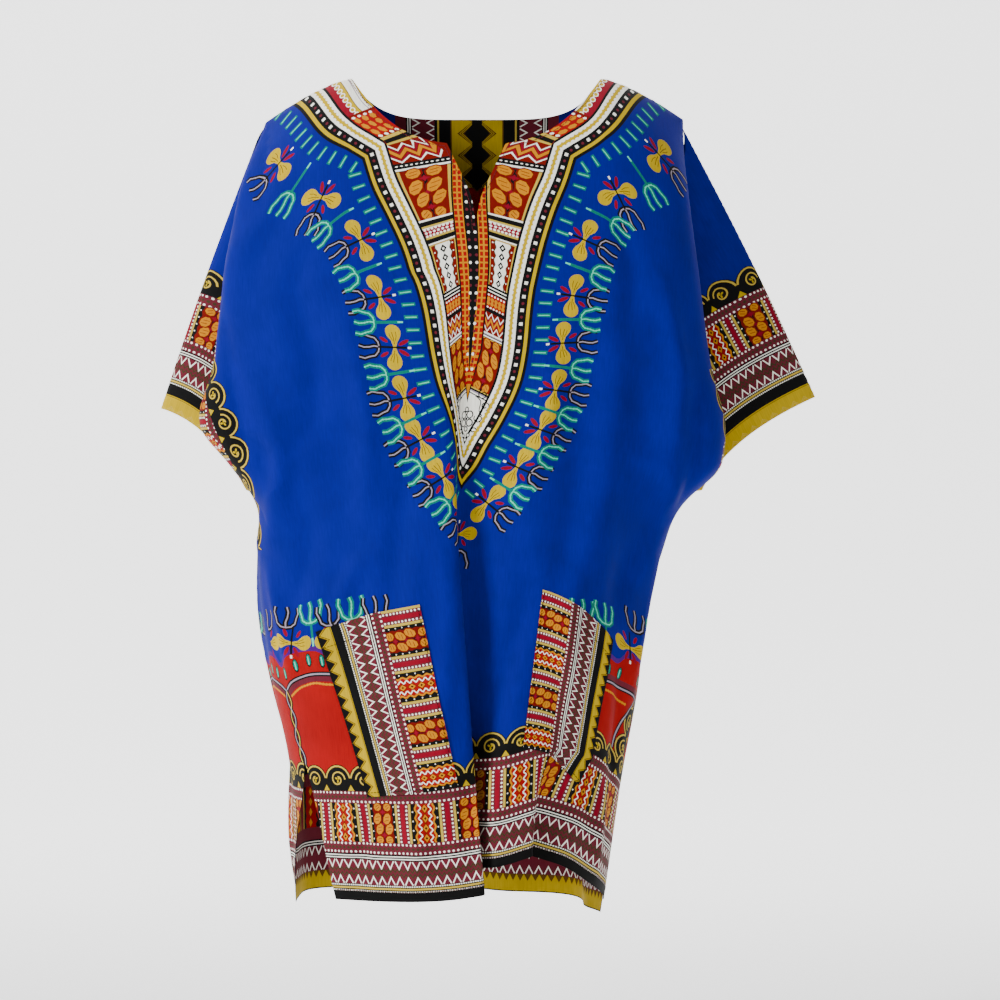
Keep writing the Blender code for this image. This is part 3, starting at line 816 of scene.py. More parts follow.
def bean_panel(pen, depth, wide=25.0, edged=True):
    """Two chains of orange beans on a rust field, with crimson stars between."""
    pen.box("black", 0, 0, wide, depth)
    margin = 3.2 if edged else 0.0
    edge = wave(margin, 0, depth, 0.5 if edged else 0.0, 8.0)
    other = wave(wide - margin, 0, depth, 0.5 if edged else 0.0, 8.0, math.pi)
    pen.fill("rust", np.concatenate([edge, other[::-1]]))
    middle = wide / 2
    pen.box("black", middle - 1.1, 1, middle + 1.1, depth - 1)
    for x in (middle - 4.7, middle + 4.7):
        bean_chain(pen, x, depth)
    for share in (0.2, 0.49, 0.79):
        star(pen, middle, depth * share, 6.0 if share != 0.49 else 4.4)
    if edged:
        for y in np.arange(3.5, depth, 6.8):
            pen.dot("cream", 1.4, y, 1.4)
            pen.dot("cream", wide - 1.4, y + 2, 1.4)


def panels_row(pen, start, end, depth):
    """Stripes between red and orange panels, which take turns."""
    unit = 40.0
    first = math.floor(start / unit)
    for k in range(first, math.ceil(end / unit)):
        panel_stripe(pen.at(k * unit, 0), depth)
        (red_panel if k % 2 else bean_panel)(pen.at(k * unit + 15, 0), depth)


def spiral(turns, size, count=20):
    t = np.linspace(0, 1, count)
    angle = turns * 2 * math.pi * t
    reach = size * (0.28 + 0.72 * t)
    return pairs(reach * np.cos(angle), reach * np.sin(angle))


def scroll_unit(pen, pitch, flip):
    """A black scallop edged in tan, with a spiral round a trefoil."""
    half = pitch / 2
    rim = np.linspace(-0.12, math.pi + 0.12, 12)
    arch = pairs((half + 0.6) * np.cos(rim), 9.5 + (half + 0.6) * np.sin(rim))
    own = pen.at(0, 10.5, 0, flip, 1)
    pen.line("tan", arch[1:-1] * (0.935, 0.965), 1.5)
    own.line("tan", spiral(1.25, half - 5.6) @ np.array([[0, 1], [1, 0]]), 1.35)
    for turn in (30, 150, 270):
        c, s = math.cos(math.radians(turn)), math.sin(math.radians(turn))
        own.at(1.75 * c, 1.75 * s, turn).oval("yellow", 0, 0, 3.2, 1.9, 6)


def scroll_row(pen, start, end, depth):
    """Scallops along the inner edge of the border."""
    pitch = 27.0
    first = math.floor(start / pitch)
    count = math.ceil(end / pitch) - first
    half = pitch / 2
    rim = np.linspace(0.05, math.pi - 0.05, 9)
    for k in range(count):
        x = (first + k + 0.5) * pitch
        arch = pairs(x + (half + 1.4) * np.cos(rim), 9.5 + (half + 1.4) * np.sin(rim))
        pen.fill("black", np.concatenate([[(x - half, -0.5)], [(x + half, -0.5)], arch]))
    for k in range(count):
        x = (first + k + 0.5) * pitch
        scroll_unit(pen.at(x, 0), pitch, 1 if k % 2 else -1)
        pen.fill("yellow", [(x - half - 3.4, 0.2), (x - half + 3.4, 0.2), (x - half, 5.6)])


ROW_DRAWERS = {
    "black": black_row,
    "yellow": yellow_row,
    "plain_yellow": plain_yellow_row,
    "inner_yellow": inner_yellow_row,
    "lines": lines_row,
    "zigzag": zigzag_row,
    "double": double_row,
    "dotted": dotted_row,
    "panels": panels_row,
    "scroll": scroll_row,
}
SCROLL_DEPTH = 25.0
HEM_BORDER = (
    ("black", 8.0), ("lines", 7.0), ("zigzag", 22.0), ("double", 5.5), ("dotted", 10.5),
    ("panels", 35.0), ("dotted", 11.0), ("scroll", SCROLL_DEPTH),
)
SLEEVE_BORDER = (("plain_yellow", 15.0), ("black", 10.0)) + HEM_BORDER[1:]
BACK_BORDER = (("inner_yellow", 17.0),) + HEM_BORDER[2:]
HEM_REACH = 306
BACK_HEM_REACH = 330
POCKET_LONG = 160.0
POCKET_BORDER = (
    ("yellow", 15.0), ("black", 8.5), ("lines", 7.0), ("zigzag", 20.0), ("double", 5.5),
    ("dotted", 10.5), ("panels", 38.0),
)


def border(pen, start, end, rows):
    """The rows of a border, drawn from the inner one out, from the hem edge at 0 inwards."""
    depth = sum(size for _, size in rows)
    for name, size in reversed(rows):
        depth -= size
        ROW_DRAWERS[name](pen.at(0, depth), start, end, size)


# The yoke round the neck and slit: half widths of its outer edge at distances below the shoulder
YOKE = (
    (180, -20), (168, 0), (158, 16), (139, 51), (122, 70), (98, 86), (90, 111), (78, 138),
    (66, 169), (58.5, 198), (55.5, 225), (54, 265), (49, 298), (36, 331), (24.5, 353), (14.5, 374),
    (0, 391),
)
YOKE_CORNER = 5
YOKE_BANDS = (("black", 0.0), ("yellow", 2.8), ("black", 6.0), ("cream", 14.0), ("black", 23.6))
YOKE_INSIDE = 25.8
SHOULDER_STRIPS = (
    ("crimson", YOKE_INSIDE), ("cream", YOKE_INSIDE + 7.5), ("yellow", YOKE_INSIDE + 8.6),
    ("shade", YOKE_INSIDE + 12.6), ("cream", YOKE_INSIDE + 13.3), ("grey", YOKE_INSIDE + 19.0),
    ("cream", YOKE_INSIDE + 19.8), ("shade", YOKE_INSIDE + 22.2), ("yellow", YOKE_INSIDE + 22.9),
)
SHOULDER_DISCS = ((7.6, 6.4, "cream", 5.6, 3.6), (27.2, 6.8, "shade", 6.4, 5.0))

# Over the two red fields, forks and flowers: place, lean and colour. Round the yoke, flowers
FIELD_FORKS = (
    (-244, 491, 4, "grey"), (-213, 489, 6, "grey"), (-186, 488, 0, "teal"), (-167, 494, -4, "grey"),
    (-146, 492, 0, "teal"), (-122, 494, -4, "grey"), (119.5, 525, -4, "teal"),
    (144, 521, -6, "teal"), (184, 508, -4, "grey"), (212, 507, -4, "teal"),
)
FIELD_FLOWERS = (
    (-208, 504, 8), (-246, 504, 4), (-164, 507, -4), (178, 527, -6), (132, 540, -6),
)
FLOWERS = (
    (176, 57), (135, 114), (102, 161), (91, 213), (84, 258), (80, 303), (69, 340), (51, 374),
    (26, 406),
)


def yoke_path():
    upper = smooth(YOKE[: YOKE_CORNER + 1], 6.0)
    lower = smooth(YOKE[YOKE_CORNER:], 6.0)
    return np.concatenate([upper, lower[1:]])


def cut_at_middle(path):
    """A half path kept where it is right of the middle, ending on the middle."""
    past = np.nonzero(path[:, 0] < 0)[0]
    if len(past) == 0:
        return path
    k = past[0]
    a, b = path[k - 1], path[k]
    end = a + (b - a) * a[0] / (a[0] - b[0])
    return np.concatenate([path[:k], [(0, end[1])]])


def mirrored(half):
    """A whole outline from its right half, which runs down to the middle."""
    return np.concatenate([half, (half * (-1, 1))[-2::-1]])


def half_width(path, y):
    return np.interp(y, path[:, 1], path[:, 0])


def shifted(points):
    """The print's middle lies left of the cloth's near the neck."""
    shift = -6.5 * (1 - ease((points[:, 1] - 110) / 90))
    return points + pairs(shift, np.zeros(len(points)))


NECK_REACH_BELOW = (-20, 30, 50, 62, 72, 84, 150, 230, 262, 311)
NECK_REACH = (118, 98, 76, 52, 30, 16.8, 15.6, 12.2, 10.8, 0)
BAR_SLANT = 8.5
CHEVRONS = 3


def neck_reach(y):
    """Half width of the neck opening at a distance below the shoulder, then of the placket."""
    return np.interp(y, NECK_REACH_BELOW, NECK_REACH)


def column(pen, inner_path):
    """A pen for one side of the yoke: x from 0 at the placket to 1 at the bands, y below the shoulder."""

    def mapping(points):
        y = points[:, 1] + BAR_SLANT * (points[:, 0] - 0.5)
        inside = neck_reach(y)
        wide = half_width(inner_path, y) - inside
        return pairs(inside + wide * points[:, 0], y)

    return pen.mapped(mapping)


def chevron_block(own, y0, y1):
    """White, red, orange and red zigzags, one above another."""
    own.box("rust", 0, y0, 1, y1)
    long = y1 - y0
    steps = np.linspace(0, 1, 2 * CHEVRONS + 1)
    rise = np.where(np.arange(2 * CHEVRONS + 1) % 2, 0.17, -0.17) * long
    rows = ((0.16, "cream", 1.5), (0.33, "crimson", 1.6), (0.5, "orange", 3.4), (0.7, "crimson", 1.6),
            (0.84, "cream", 1.5))
    for share, colour, thick in rows:
        path = pairs(steps, np.clip(y0 + share * long + rise, y0 + thick / 2, y1 - thick / 2))
        upper = path - (0, thick / 2)
        lower = path + (0, thick / 2)
        for a, b, c, d in zip(upper, upper[1:], lower[1:], lower):
            own.fill(colour, [a, b, c, d])


def bars(own, y, sizes):
    """Bars straight across, one below another, as pairs of colour and size."""
    for colour, size in sizes:
        own.box(colour, 0, y, 1, y + size)
        y += size
    return y


def spots(own, colour, y, count, high, wide=None):
    wide = 0.62 / count if wide is None else wide
    for k in range(count):
        own.oval(colour, (k + 0.5) / count, y, wide, high, 6)


def yoke_column(pen, inner_path, flip):
    """Panels of one side of the yoke from the shoulder down to the filigree."""
    own = column(pen.at(0, 0, 0, flip, 1), inner_path)
    # Red patch with orange diamonds
    own.box("rust", -0.3, 40, 1, 92)
    own.box("red", -0.3, 42, 1, 60)
    for y, count in ((45.5, 3), (51, 3), (56.5, 3)):
        spots(own, "orange", y, count, 5.0, 0.24)
    for y in (42.5, 60):
        spots(own, "cream", y, 4, 2.0)
    bars(own, 61.5, (("tan", 2.0), ("black", 3.2), ("tan", 2.0)))
    chevron_block(own, 68.5, 87)
    bars(own, 87, (("black", 5.0), ("cream", 1.8), ("black", 0.8)))
    spots(own, "cream", 89.4, 11, 1.3)
    # Orange beans
    wide = 24.0
    bean_pen = own.mapped(lambda points: points / (wide, 1) + (0, 94.5))
    bean_panel(bean_pen, 45.5, wide, edged=False)
    for x in (0.8, wide - 0.8):
        bean_pen.line("tan", [(x, 0), (x, 45)], 1.3)
    # Lattice between tan and black bars
    y = bars(own, 140, (("cream", 1.6), ("black", 4.0), ("tan", 1.8), ("cream", 0.6)))
    own.box("crimson", 0, y, 1, y + 7.4)
    for k in range(3):
        spots(own, "cream", y + 0.8 + k * 2.9, 8 - k % 2, 2.3, 0.1)
    bars(own, y + 7.4, (("tan", 1.8), ("black", 4.0), ("cream", 1.3)))
    # White panel with black diamonds and dotted orange edges
    own.box("tan", 0, 162.8, 1, 207)
    own.box("rust", 0.05, 163.8, 0.95, 206)
    edge = wave(0.24, 164, 206, 0.035, 8.0)
    other = wave(0.76, 164, 206, 0.035, 8.0, math.pi)
    own.fill("olive", np.concatenate([edge - (0.04, 0), (other + (0.04, 0))[::-1]]))
    own.fill("cream", np.concatenate([edge, other[::-1]]))
    for k in range(5):
        y = 169 + k * 8.2
        own.diamond("black", 0.5, y, 0.26, 7.6)
        own.diamond("cream", 0.5, y, 0.1, 3.0)
    for k in range(6):
        for x, y in ((0.13, 166.5), (0.87, 170.0)):
            own.oval("cream", x, y + k * 7.2, 0.06, 1.5, 6)
    y = bars(own, 206, (("black", 2.0), ("cream", 1.0), ("black", 2.0), ("cream", 1.0), ("black", 1.6)))
    own.box("red", 0, y, 1, 229)
    spots(own, "cream", y + 1.4, 6, 1.8)
    spots(own, "orange", y + 5.2, 5, 4.2, 0.19)
    spots(own, "orange", y + 8.8, 5, 4.2, 0.19)
    spots(own, "cream", y + 12.6, 6, 1.8)
    bars(own, 227, (("black", 3.4),))
    chevron_block(own, 230.4, 249)
    bars(own, 249, (("cream", 1.4), ("grey", 0.9), ("black", 0.9), ("cream", 1.2), ("black", 0.8),
                    ("tan", 1.0)))
    narrow = 20.0
    lower_pen = own.mapped(lambda points: points / (narrow, 1) + (0, 255))
    bean_panel(lower_pen, 46.0, narrow, edged=False)
    bars(own, 300, (("tan", 1.0), ("black", 1.4), ("grey", 1.2), ("cream", 1.2), ("black", 1.0)))


def placket(pen):
    """Black band with white and maroon dots along the slit, between two rows of red squares."""
    deep = 311.0
    sides = ((17.5, 64), (16.0, 150), (12.6, 230), (11.2, 262))
    for shrink, colour in ((0.0, "black"), (1.7, "orange"), (10.0, "black")):
        half = [(x - shrink * (1.0 if y < 200 else 0.95), y) for x, y in sides]
        pen.fill(colour, mirrored(np.array(half + [(0, deep - shrink * 2.6)])))
    for own in pen.halves():
        middle = np.array([(11.8, 64), (10.6, 150), (7.6, 230), (6.3, 262), (0.4, 297)])
        for x, y, turn in walked(middle, 5.4, 2.0):
            unit = own.at(x, y, turn)
            size = 1.0 if y < 262 else 0.75
            for place in (-2.2, 2.2):
                unit.box("red", -1.9 * size, place * size - 1.4, 1.9 * size, place * size + 1.4)
        for k in range(17):
            y = 70 + k * 14.0
            reach = 2.9 if y > 150 else 2.9 + (150 - y) * 0.004
            if y < 292:
                own.oval("cream", reach, y, 2.9, 3.1, 6)
            if y + 7 < 285:
                own.oval("maroon", reach, y + 7, 2.9, 3.1, 6)


def nested(pen, path, bands):
    """Bands inside a half outline and its mirror image, each over the one before."""
    for colour, distance in bands:
        pen.fill(colour, mirrored(cut_at_middle(inset(path, distance))))


def shoulder_strip(pen, path):
    """Crimson, gold and cream strips that follow the yoke from the shoulder to the red patch."""
    nested(pen, path, SHOULDER_STRIPS)
    for own in pen.halves():
        for distance, pitch, colour, outer, inner in SHOULDER_DISCS:
            for x, y, _ in walked(inset(path, YOKE_INSIDE + distance), pitch, 3.0):
                if y < 66:
                    own.oval(colour, x, y, outer, outer, 8)
                    own.oval("yellow", x, y, inner, inner, 8)


# Curls at the tip of the yoke: place, size and turn
CURLS = ((15, 304, 5.0, 200), (17, 315, 4.6, 20), (12, 326, 4.4, 160), (8, 337, 3.4, 30))


def filigree(pen):
    """Grey curls round a four-petal flower at the tip of the yoke."""
    for own in pen.halves():
        for x, y, size, turn in CURLS:
            own.at(x, y, turn).line("black", spiral(1.15, size, 12), 1.0)
        own.line("black", smooth([(8, 305), (13, 310), (12, 319), (15, 324)], 3), 0.9)
    for colour, wide, high, sides in (("black", 7.4, 7.8, 10), ("cream", 5.2, 5.6, 8)):
        for x, y in ((-3.6, 322), (3.6, 322), (-3.6, 329.5), (3.6, 329.5)):
            pen.oval(colour, x, y, wide, high, sides)
    for y in (317, 335):
        pen.oval("black", 0, y, 5.0, 5.6, 8)
        pen.oval("cream", 0, y, 2.8, 3.4, 8)
    pen.dot("black", 0, 325.8, 3.0)
    for colour, wide, sides in (("black", 4.6, 8), ("cream", 2.8, 6)):
        for x, y in ((-3, 341), (3, 341), (0, 345)):
            pen.oval(colour, x, y, wide, wide, sides)


def yoke(pen):
    """The whole yoke, from its outer bands inwards."""
    own = pen.mapped(shifted)
    path = yoke_path()
    nested(own, path, YOKE_BANDS)
    inner = cut_at_middle(inset(path, YOKE_INSIDE))
    shoulder_strip(own, path)
    half = inner[inner[:, 1] > 42]
    top = np.array([(max(half[0, 0] - 40, 0), 30.0)])
    own.fill("rust", mirrored(np.concatenate([top, half])))
    lower = inner[inner[:, 1] > 296]
    own.fill("cream", mirrored(np.concatenate([[(0.5, 296)], lower])))
    for flip in (-1, 1):
        yoke_column(own, inner, flip)
    filigree(own)
    placket(own)
    for side in own.halves():
        for k, (x, y, turn) in enumerate(walked(cut_at_middle(inset(path, 10.0)), 6.35, 4.0)):
            unit = side.at(x, y, turn)
            if k % 2:
                unit.box("cream", -1.5, -1.6, 1.5, 1.6)
            else:
                unit.oval("maroon", 0, 0, 3.0, 3.0, 6)
        serrated = cut_at_middle(inset(path, 18.8))
        side.line("yellow", serrated, 2.6)
        for k, (x, y, turn) in enumerate(walked(serrated, 2.35, 1.0)):
            side.at(x, y, turn).diamond("yellow", 0, 1.1 if k % 2 else -1.1, 3.2, 2.6)


def flower(pen):
    """Two yellow bulbs and four crimson leaves on a dark stem that points at the yoke, which is up."""
    for own in pen.halves():
        own.at(4.6, -8.4, -62).oval("crimson", 0, 0, 11.0, 3.6, 8)
        own.at(6.6, 9.4, 60).oval("crimson", 0, 0, 8.6, 3.2, 8)
    pen.line("black", [(0, -11), (0, 15)], 1.9)
    pen.line("cream", [(0, -15), (0, -12)], 1.8)
    for own in pen.halves():
        bulb = smooth([(0.6, -1.5), (5.0, -2.9), (9.5, -5.6), (15.0, -6.2), (19.4, -2.6), (20.2, 3.0),
                       (16.4, 7.4), (10.4, 6.6), (6.0, 2.8), (0.6, 1.2)], 3.0, closed=True)
        own.fill("yellow", bulb)
        own.line("shade", [(3, 0), (8, 0.4), (13.4, 1.8)], 0.6)
        for vein in ([(6, -1.2), (10, -2.2), (14.0, -1.8)], [(6, 1.4), (9.6, 3.4), (12.4, 4.2)]):
            own.line("shade", vein, 0.5)


def fork(pen, outer, inner, beads):
    """Three wavy prongs that open downwards from a joint at the middle."""
    arch = smooth([(-10.4, 20), (-11.6, 14.5), (-9.8, 9.5), (-8.6, 4.2), (-4.6, 0.9), (0, 0), (4.6, 0.9),
                   (8.6, 4.2), (9.8, 9.5), (11.6, 14.5), (10.4, 20)], 4.0)
    prong = smooth([(0, 0), (0.7, 5), (-0.5, 10), (-0.9, 15), (0.6, 20)], 4.0)
    for path in (arch, prong):
        pen.line(outer, path, 4.8)
    for path in (arch, prong):
        if beads:
            pen.line(inner, path, 1.1)
            pen.dots(inner, path, 3.0, 1.9, 1.0)
        else:
            pen.line(inner, path, 1.25)


def ring(pen):
    """Teal rays close to the yoke, then flowers, teal stems and forks round it."""
    own = pen.mapped(shifted)
    path = yoke_path()
    rays = inset(path, -4.0)
    fork(own.at(0, 448, 0, 0.92), "black", "grey", False)
    flower(own.at(0, 433, 0, 0.9))
    for side in own.halves():
        for x, y, turn in walked(rays, 11.6, 8.0):
            ray = side.at(x, y, turn)
            ray.fill("teal", [(-1.5, 0), (1.5, 0), (1.9, -12.6), (-1.9, -12.6)])
            ray.line("mint", [(0.3, -1.2), (0.1, -11.4)], 0.9)
        centres = np.array(FLOWERS, float)
        middles = (centres[1:] + centres[:-1]) / 2
        for places, kind in ((centres, "flower"), (middles, "stem")):
            for k, (x, y) in enumerate(places):
                gap = np.hypot(path[:, 0] - x, path[:, 1] - y)
                near = path[np.argmin(gap)]
                turn = math.degrees(math.atan2(near[1] - y, near[0] - x)) + 90
                unit = side.at(x, y, turn)
                if kind == "flower":
                    fork(unit.at(0, 14, 0, 0.92), "black", "grey", False)
                    flower(unit)
                else:
                    fork(unit.at(0, 12, 0, 0.92), "teal", "mint", True)
                    unit.line("teal", [(0, -11), (0, 12)], 2.6)
                    unit.line("mint", [(0, -14), (0, -9.0)], 1.6)


def wing_place(side):
    """The border along the outer edge of the front, which meets the sleeve: from its hem at depth 0."""
    depth = sum(size for name, size in HEM_BORDER if name != "scroll")

    def mapping(points):
        out = 258 + depth - points[:, 1] - 75 * ease((points[:, 0] - 290) / 90)
        return pairs(side * out, points[:, 0])

    return mapping


# Base lines of the scrolls beside the sleeves, from the top down
WING_LEFT = ((-280, 228), (-275, 250), (-264, 275), (-257, 300), (-253, 322), (-256, 345), (-262, 365),
             (-260, 390), (-257, 415))
WING_RIGHT = ((252, 232), (257, 252), (265, 276), (274, 306), (275, 340), (269, 372), (260, 405))


def scroll_chain(pen, path):
    """Scrolls along a path, with their scallops to the left of someone who walks along it."""
    way = way_along(path)
    run = pairs(np.gradient(path[:, 0], way), np.gradient(path[:, 1], way))
    run /= np.hypot(*run.T)[:, None]

    def mapping(points):
        u, v = points.T
        x, y = places_at(path, way, u).T
        tx, ty = places_at(run, way, u).T
        return pairs(x + ty * v, y - tx * v)

    scroll_row(pen.mapped(mapping), 0, way[-1], SCROLL_DEPTH)


def drops(pen, places, turn=90):
    for x, y in places:
        drop = pen.at(x, y, turn)
        drop.oval("black", 0, 0, 13.5, 6.0, 10)
        drop.oval("teal", -0.3, 0, 11.5, 4.4, 8)
        drop.line("mint", [(-3.8, 0.3), (4.2, 0.3)], 1.2)


def arch_lines(pen, arch, orange):
    """A grey line in black over the red field, with an orange wavy one under it."""
    pen.line("maroon", offset(arch, 4.0), 6.0)
    pen.line("black", arch, 4.4)
    pen.line("grey", arch, 1.6)
    pen.line("orange", orange, 1.7)
    pen.dots("orange", orange, 3.4, 2.8, 1.0)


def left_medallion(pen):
    """Red field left of the left pocket, split by a twisted chain near the side seam."""
    top = smooth([(-335, 529), (-320, 518), (-306, 515), (-292, 524), (-278, 528), (-265, 521), (-252, 517),
                  (-240, 519), (-228, 528), (-215, 517), (-201, 513), (-184, 515), (-172, 522), (-160, 516),
                  (-140, 518)], 4)
    below = [(-120, 640), (-335, 640)]
    pen.fill("purple", np.concatenate([top - (0, 4.5), below]))
    pen.fill("red", np.concatenate([top, below]))
    drops(pen, ((-312, 528), (-298, 532), (-283, 536), (-268, 532), (-252, 530), (-238, 533), (-222, 534),
                (-207, 526), (-192.5, 522), (-179, 525), (-163, 527)), 84)
    arch = smooth([(-225.5, 551), (-219, 545), (-210.5, 540), (-196.5, 536), (-179.5, 537), (-160, 541),
                   (-140, 549)], 4)
    orange = smooth([(-219, 556), (-204, 547), (-189.5, 544.5), (-178, 547), (-160, 550), (-145, 556)], 4)
    arch_lines(pen, arch, orange)
    outer = smooth([(-226, 551), (-236, 545), (-252, 541), (-272, 540), (-292, 545), (-310, 556)], 4)
    arch_lines(pen, outer[::-1], outer[::-1] + (0, 8))
    chain = smooth([(-226, 551), (-223.5, 568), (-222, 581), (-220.5, 601), (-217, 616), (-213, 630)], 2.5)
    swing = 2.9 * np.sin(2 * math.pi * np.arange(len(chain)) * 2.5 / 36.0)
    strands = [(chain + pairs(swing * side, np.zeros(len(chain))), colour)
               for side, colour in ((1, "tan"), (-1, "grey"))]
    for strand, _ in strands:
        pen.line("black", strand, 5.0)
    for strand, colour in strands:
        pen.line(colour, strand, 1.3)


def right_medallion(pen):
    """Red field right of the right pocket, edged by scrolls that run down to the hem border."""
    top = smooth([(130, 556), (142, 548), (154.5, 550), (165, 549), (174, 539), (190, 535), (202.5, 537),
                  (214, 531), (232, 536), (252, 532), (272, 538), (292, 534)], 4)
    below = [(292, 660), (120, 660)]
    pen.fill("purple", np.concatenate([top - (0, 4.5), below]))
    pen.fill("red", np.concatenate([top, below]))
    drops(pen, ((137, 563), (152, 561), (169, 557), (196, 551), (212, 548), (229, 550)), 96)
    line = smooth([(203, 567), (192, 585), (186.5, 595), (182, 612), (180.5, 625), (176, 640),
                   (175.5, 660)], 4)
    scroll_chain(pen, smooth([(225, 566), (214, 590), (209, 612), (204, 640), (203, 660)], 4)[::-1])
    pen.line("black", line, 4.0)
    pen.line("grey", line, 1.6)
    arch = smooth([(130, 578), (150, 573), (170.5, 569), (188, 567), (204, 567), (226, 570)], 4)
    orange = smooth([(135, 585), (147.5, 582), (164.5, 580), (186, 579)], 4)
    arch_lines(pen, arch[::-1], orange[::-1])


def pocket_flowers(pen):
    """Forks and flowers over the two red fields, tips down."""
    for x, y, lean, kind in FIELD_FORKS:
        unit = pen.at(x, y, 180 + lean)
        if kind == "grey":
            fork(unit, "black", "grey", False)
        else:
            unit.line("teal", [(0, -21), (0, 1)], 2.2)
            unit.line("mint", [(0, -22), (0, -14)], 1.9)
            fork(unit, "teal", "mint", True)
    for x, y, lean in FIELD_FLOWERS:
        flower(pen.at(x, y, 180 + lean))


def from_hem(points):
    """A mapping with y up from the hem."""
    return pairs(points[:, 0], LENGTH / MM - points[:, 1])


def front_print():
    """Everything printed on the front, lowest first."""
    shapes = []
    pen = Pen(shapes)
    for side in (-1, 1):
        border(pen.mapped(wing_place(side)), 140, 445, HEM_BORDER[:-1])
    pen.box("blue", -248, -20, 248, 470)
    pen.box("blue", -300, 440, 300, 640)
    left_medallion(pen)
    right_medallion(pen)
    pocket_flowers(pen)
    border(pen.mapped(from_hem), -HEM_REACH, HEM_REACH, HEM_BORDER)
    scroll_chain(pen, smooth(WING_LEFT, 5))
    scroll_chain(pen, smooth(WING_RIGHT, 5)[::-1])
    ring(pen)
    yoke(pen)
    return shapes


def past_seam(pen, side):
    """A pen that draws on the back what lies beyond the front's edge, as if the two were one cloth."""
    levels = np.linspace(0, LENGTH, 60)
    ends = (cloth_end("front", side, levels) + cloth_end("back", side, levels)) / MM

    def mapping(points):
        return pairs(np.interp(points[:, 1], levels / MM, ends) - points[:, 0], points[:, 1])

    return pen.mapped(mapping)


# Upper and lower end of the columns under the neck of the back
NECK_BLOCK = (-5, 93)


def back_print():
    """The back: a hem border, and a block of columns under the neck with a red field below it."""
    shapes = []
    pen = Pen(shapes)
    for side, medallion in ((-1, left_medallion), (1, right_medallion)):
        own = past_seam(pen, side)
        medallion(own)
        for x in (270, 300):
            fork(own.at(side * x, 497, 180), "black", "grey", False)
        fork(own.at(side * 285, 495, 180), "teal", "mint", True)
    pen.box("red", -30, 90, 30, 190)
    top, bottom = NECK_BLOCK
    for own in pen.halves():
        own.box("yellow", 0, top, 25, bottom)
        own.line("shade", [(25, top), (25, bottom)], 1.2)
        own.box("black", 25.6, top, 34, bottom)
        at = 34.0
        for name, size in HEM_BORDER[1:5]:
            turned = own.mapped(lambda p, a=at: pairs(a + p[:, 1], p[:, 0]))
            ROW_DRAWERS[name](turned, top, bottom, size)
            at += size
    levels = 3 + np.arange(5) * 20.0
    for y in levels:
        pen.fill("shade", [(0, y - 14), (19, y), (0, y + 14), (-19, y)])
        for reach in (16.6, 14.4):
            for side in (1, -1):
                edge = [(4 * side, y - reach * 0.62), (reach * side, y), (4 * side, y + reach * 0.62)]
                pen.line("yellow", edge, 0.5)
    for y in levels:
        pen.fill("black", [(0, y - 13), (12.4, y), (0, y + 13), (-12.4, y)])
    pen.box("black", -4.8, top, 4.8, bottom)
    border(pen.mapped(from_hem), -BACK_HEM_REACH, BACK_HEM_REACH, BACK_BORDER)
    return shapes


def sleeve_print(reach):
    shapes = []
    border(Pen(shapes), -reach, reach, SLEEVE_BORDER)
    return shapes


def pocket_print(name):
    """The border turned on its side, with its hem side towards the side seam."""
    shapes = []
    upper_left, upper_right, lower_right, lower_left = np.array(POCKETS[name]) / MM
    depth = sum(size for _, size in POCKET_BORDER)

    def mapping(points):
        u = points[:, :1] / POCKET_LONG
        v = points[:, 1:] / depth
        if name == "pocket_right":
            v = 1 - v
        upper = upper_left * (1 - v) + upper_right * v
        lower = lower_left * (1 - v) + lower_right * v
        return upper * (1 - u) + lower * u

    border(Pen(shapes, mapping), -6, POCKET_LONG + 8, POCKET_BORDER)
    return shapes


def area_of(points):
    """Area inside an outline, below 0 where it turns to the right."""
    x, y = points[:, 0], points[:, 1]
    return np.sum(x * np.roll(y, -1) - y * np.roll(x, -1)) / 2


def crosses(polygon):
    """Whether a quad is folded over itself by its mapping."""
    if len(polygon) != 4:
        return False
    x, y = polygon[:, 0], polygon[:, 1]
    next_x, next_y = np.roll(x, -1), np.roll(y, -1)
    last_x, last_y = np.roll(x, 1), np.roll(y, 1)
    turns = (x - last_x) * (next_y - y) - (y - last_y) * (next_x - x)
    return np.sum(turns > 0) == 2


def within(outline, points):
    """Which of some points lie inside an outline."""
    x, y = points.T
    found = np.zeros(len(points), bool)
    for (x0, y0), (x1, y1) in zip(outline, np.roll(outline, -1, axis=0)):
        if y0 != y1:
            found ^= ((y0 > y) != (y1 > y)) & (x < (x1 - x0) * (y - y0) / (y1 - y0) + x0)
    return found


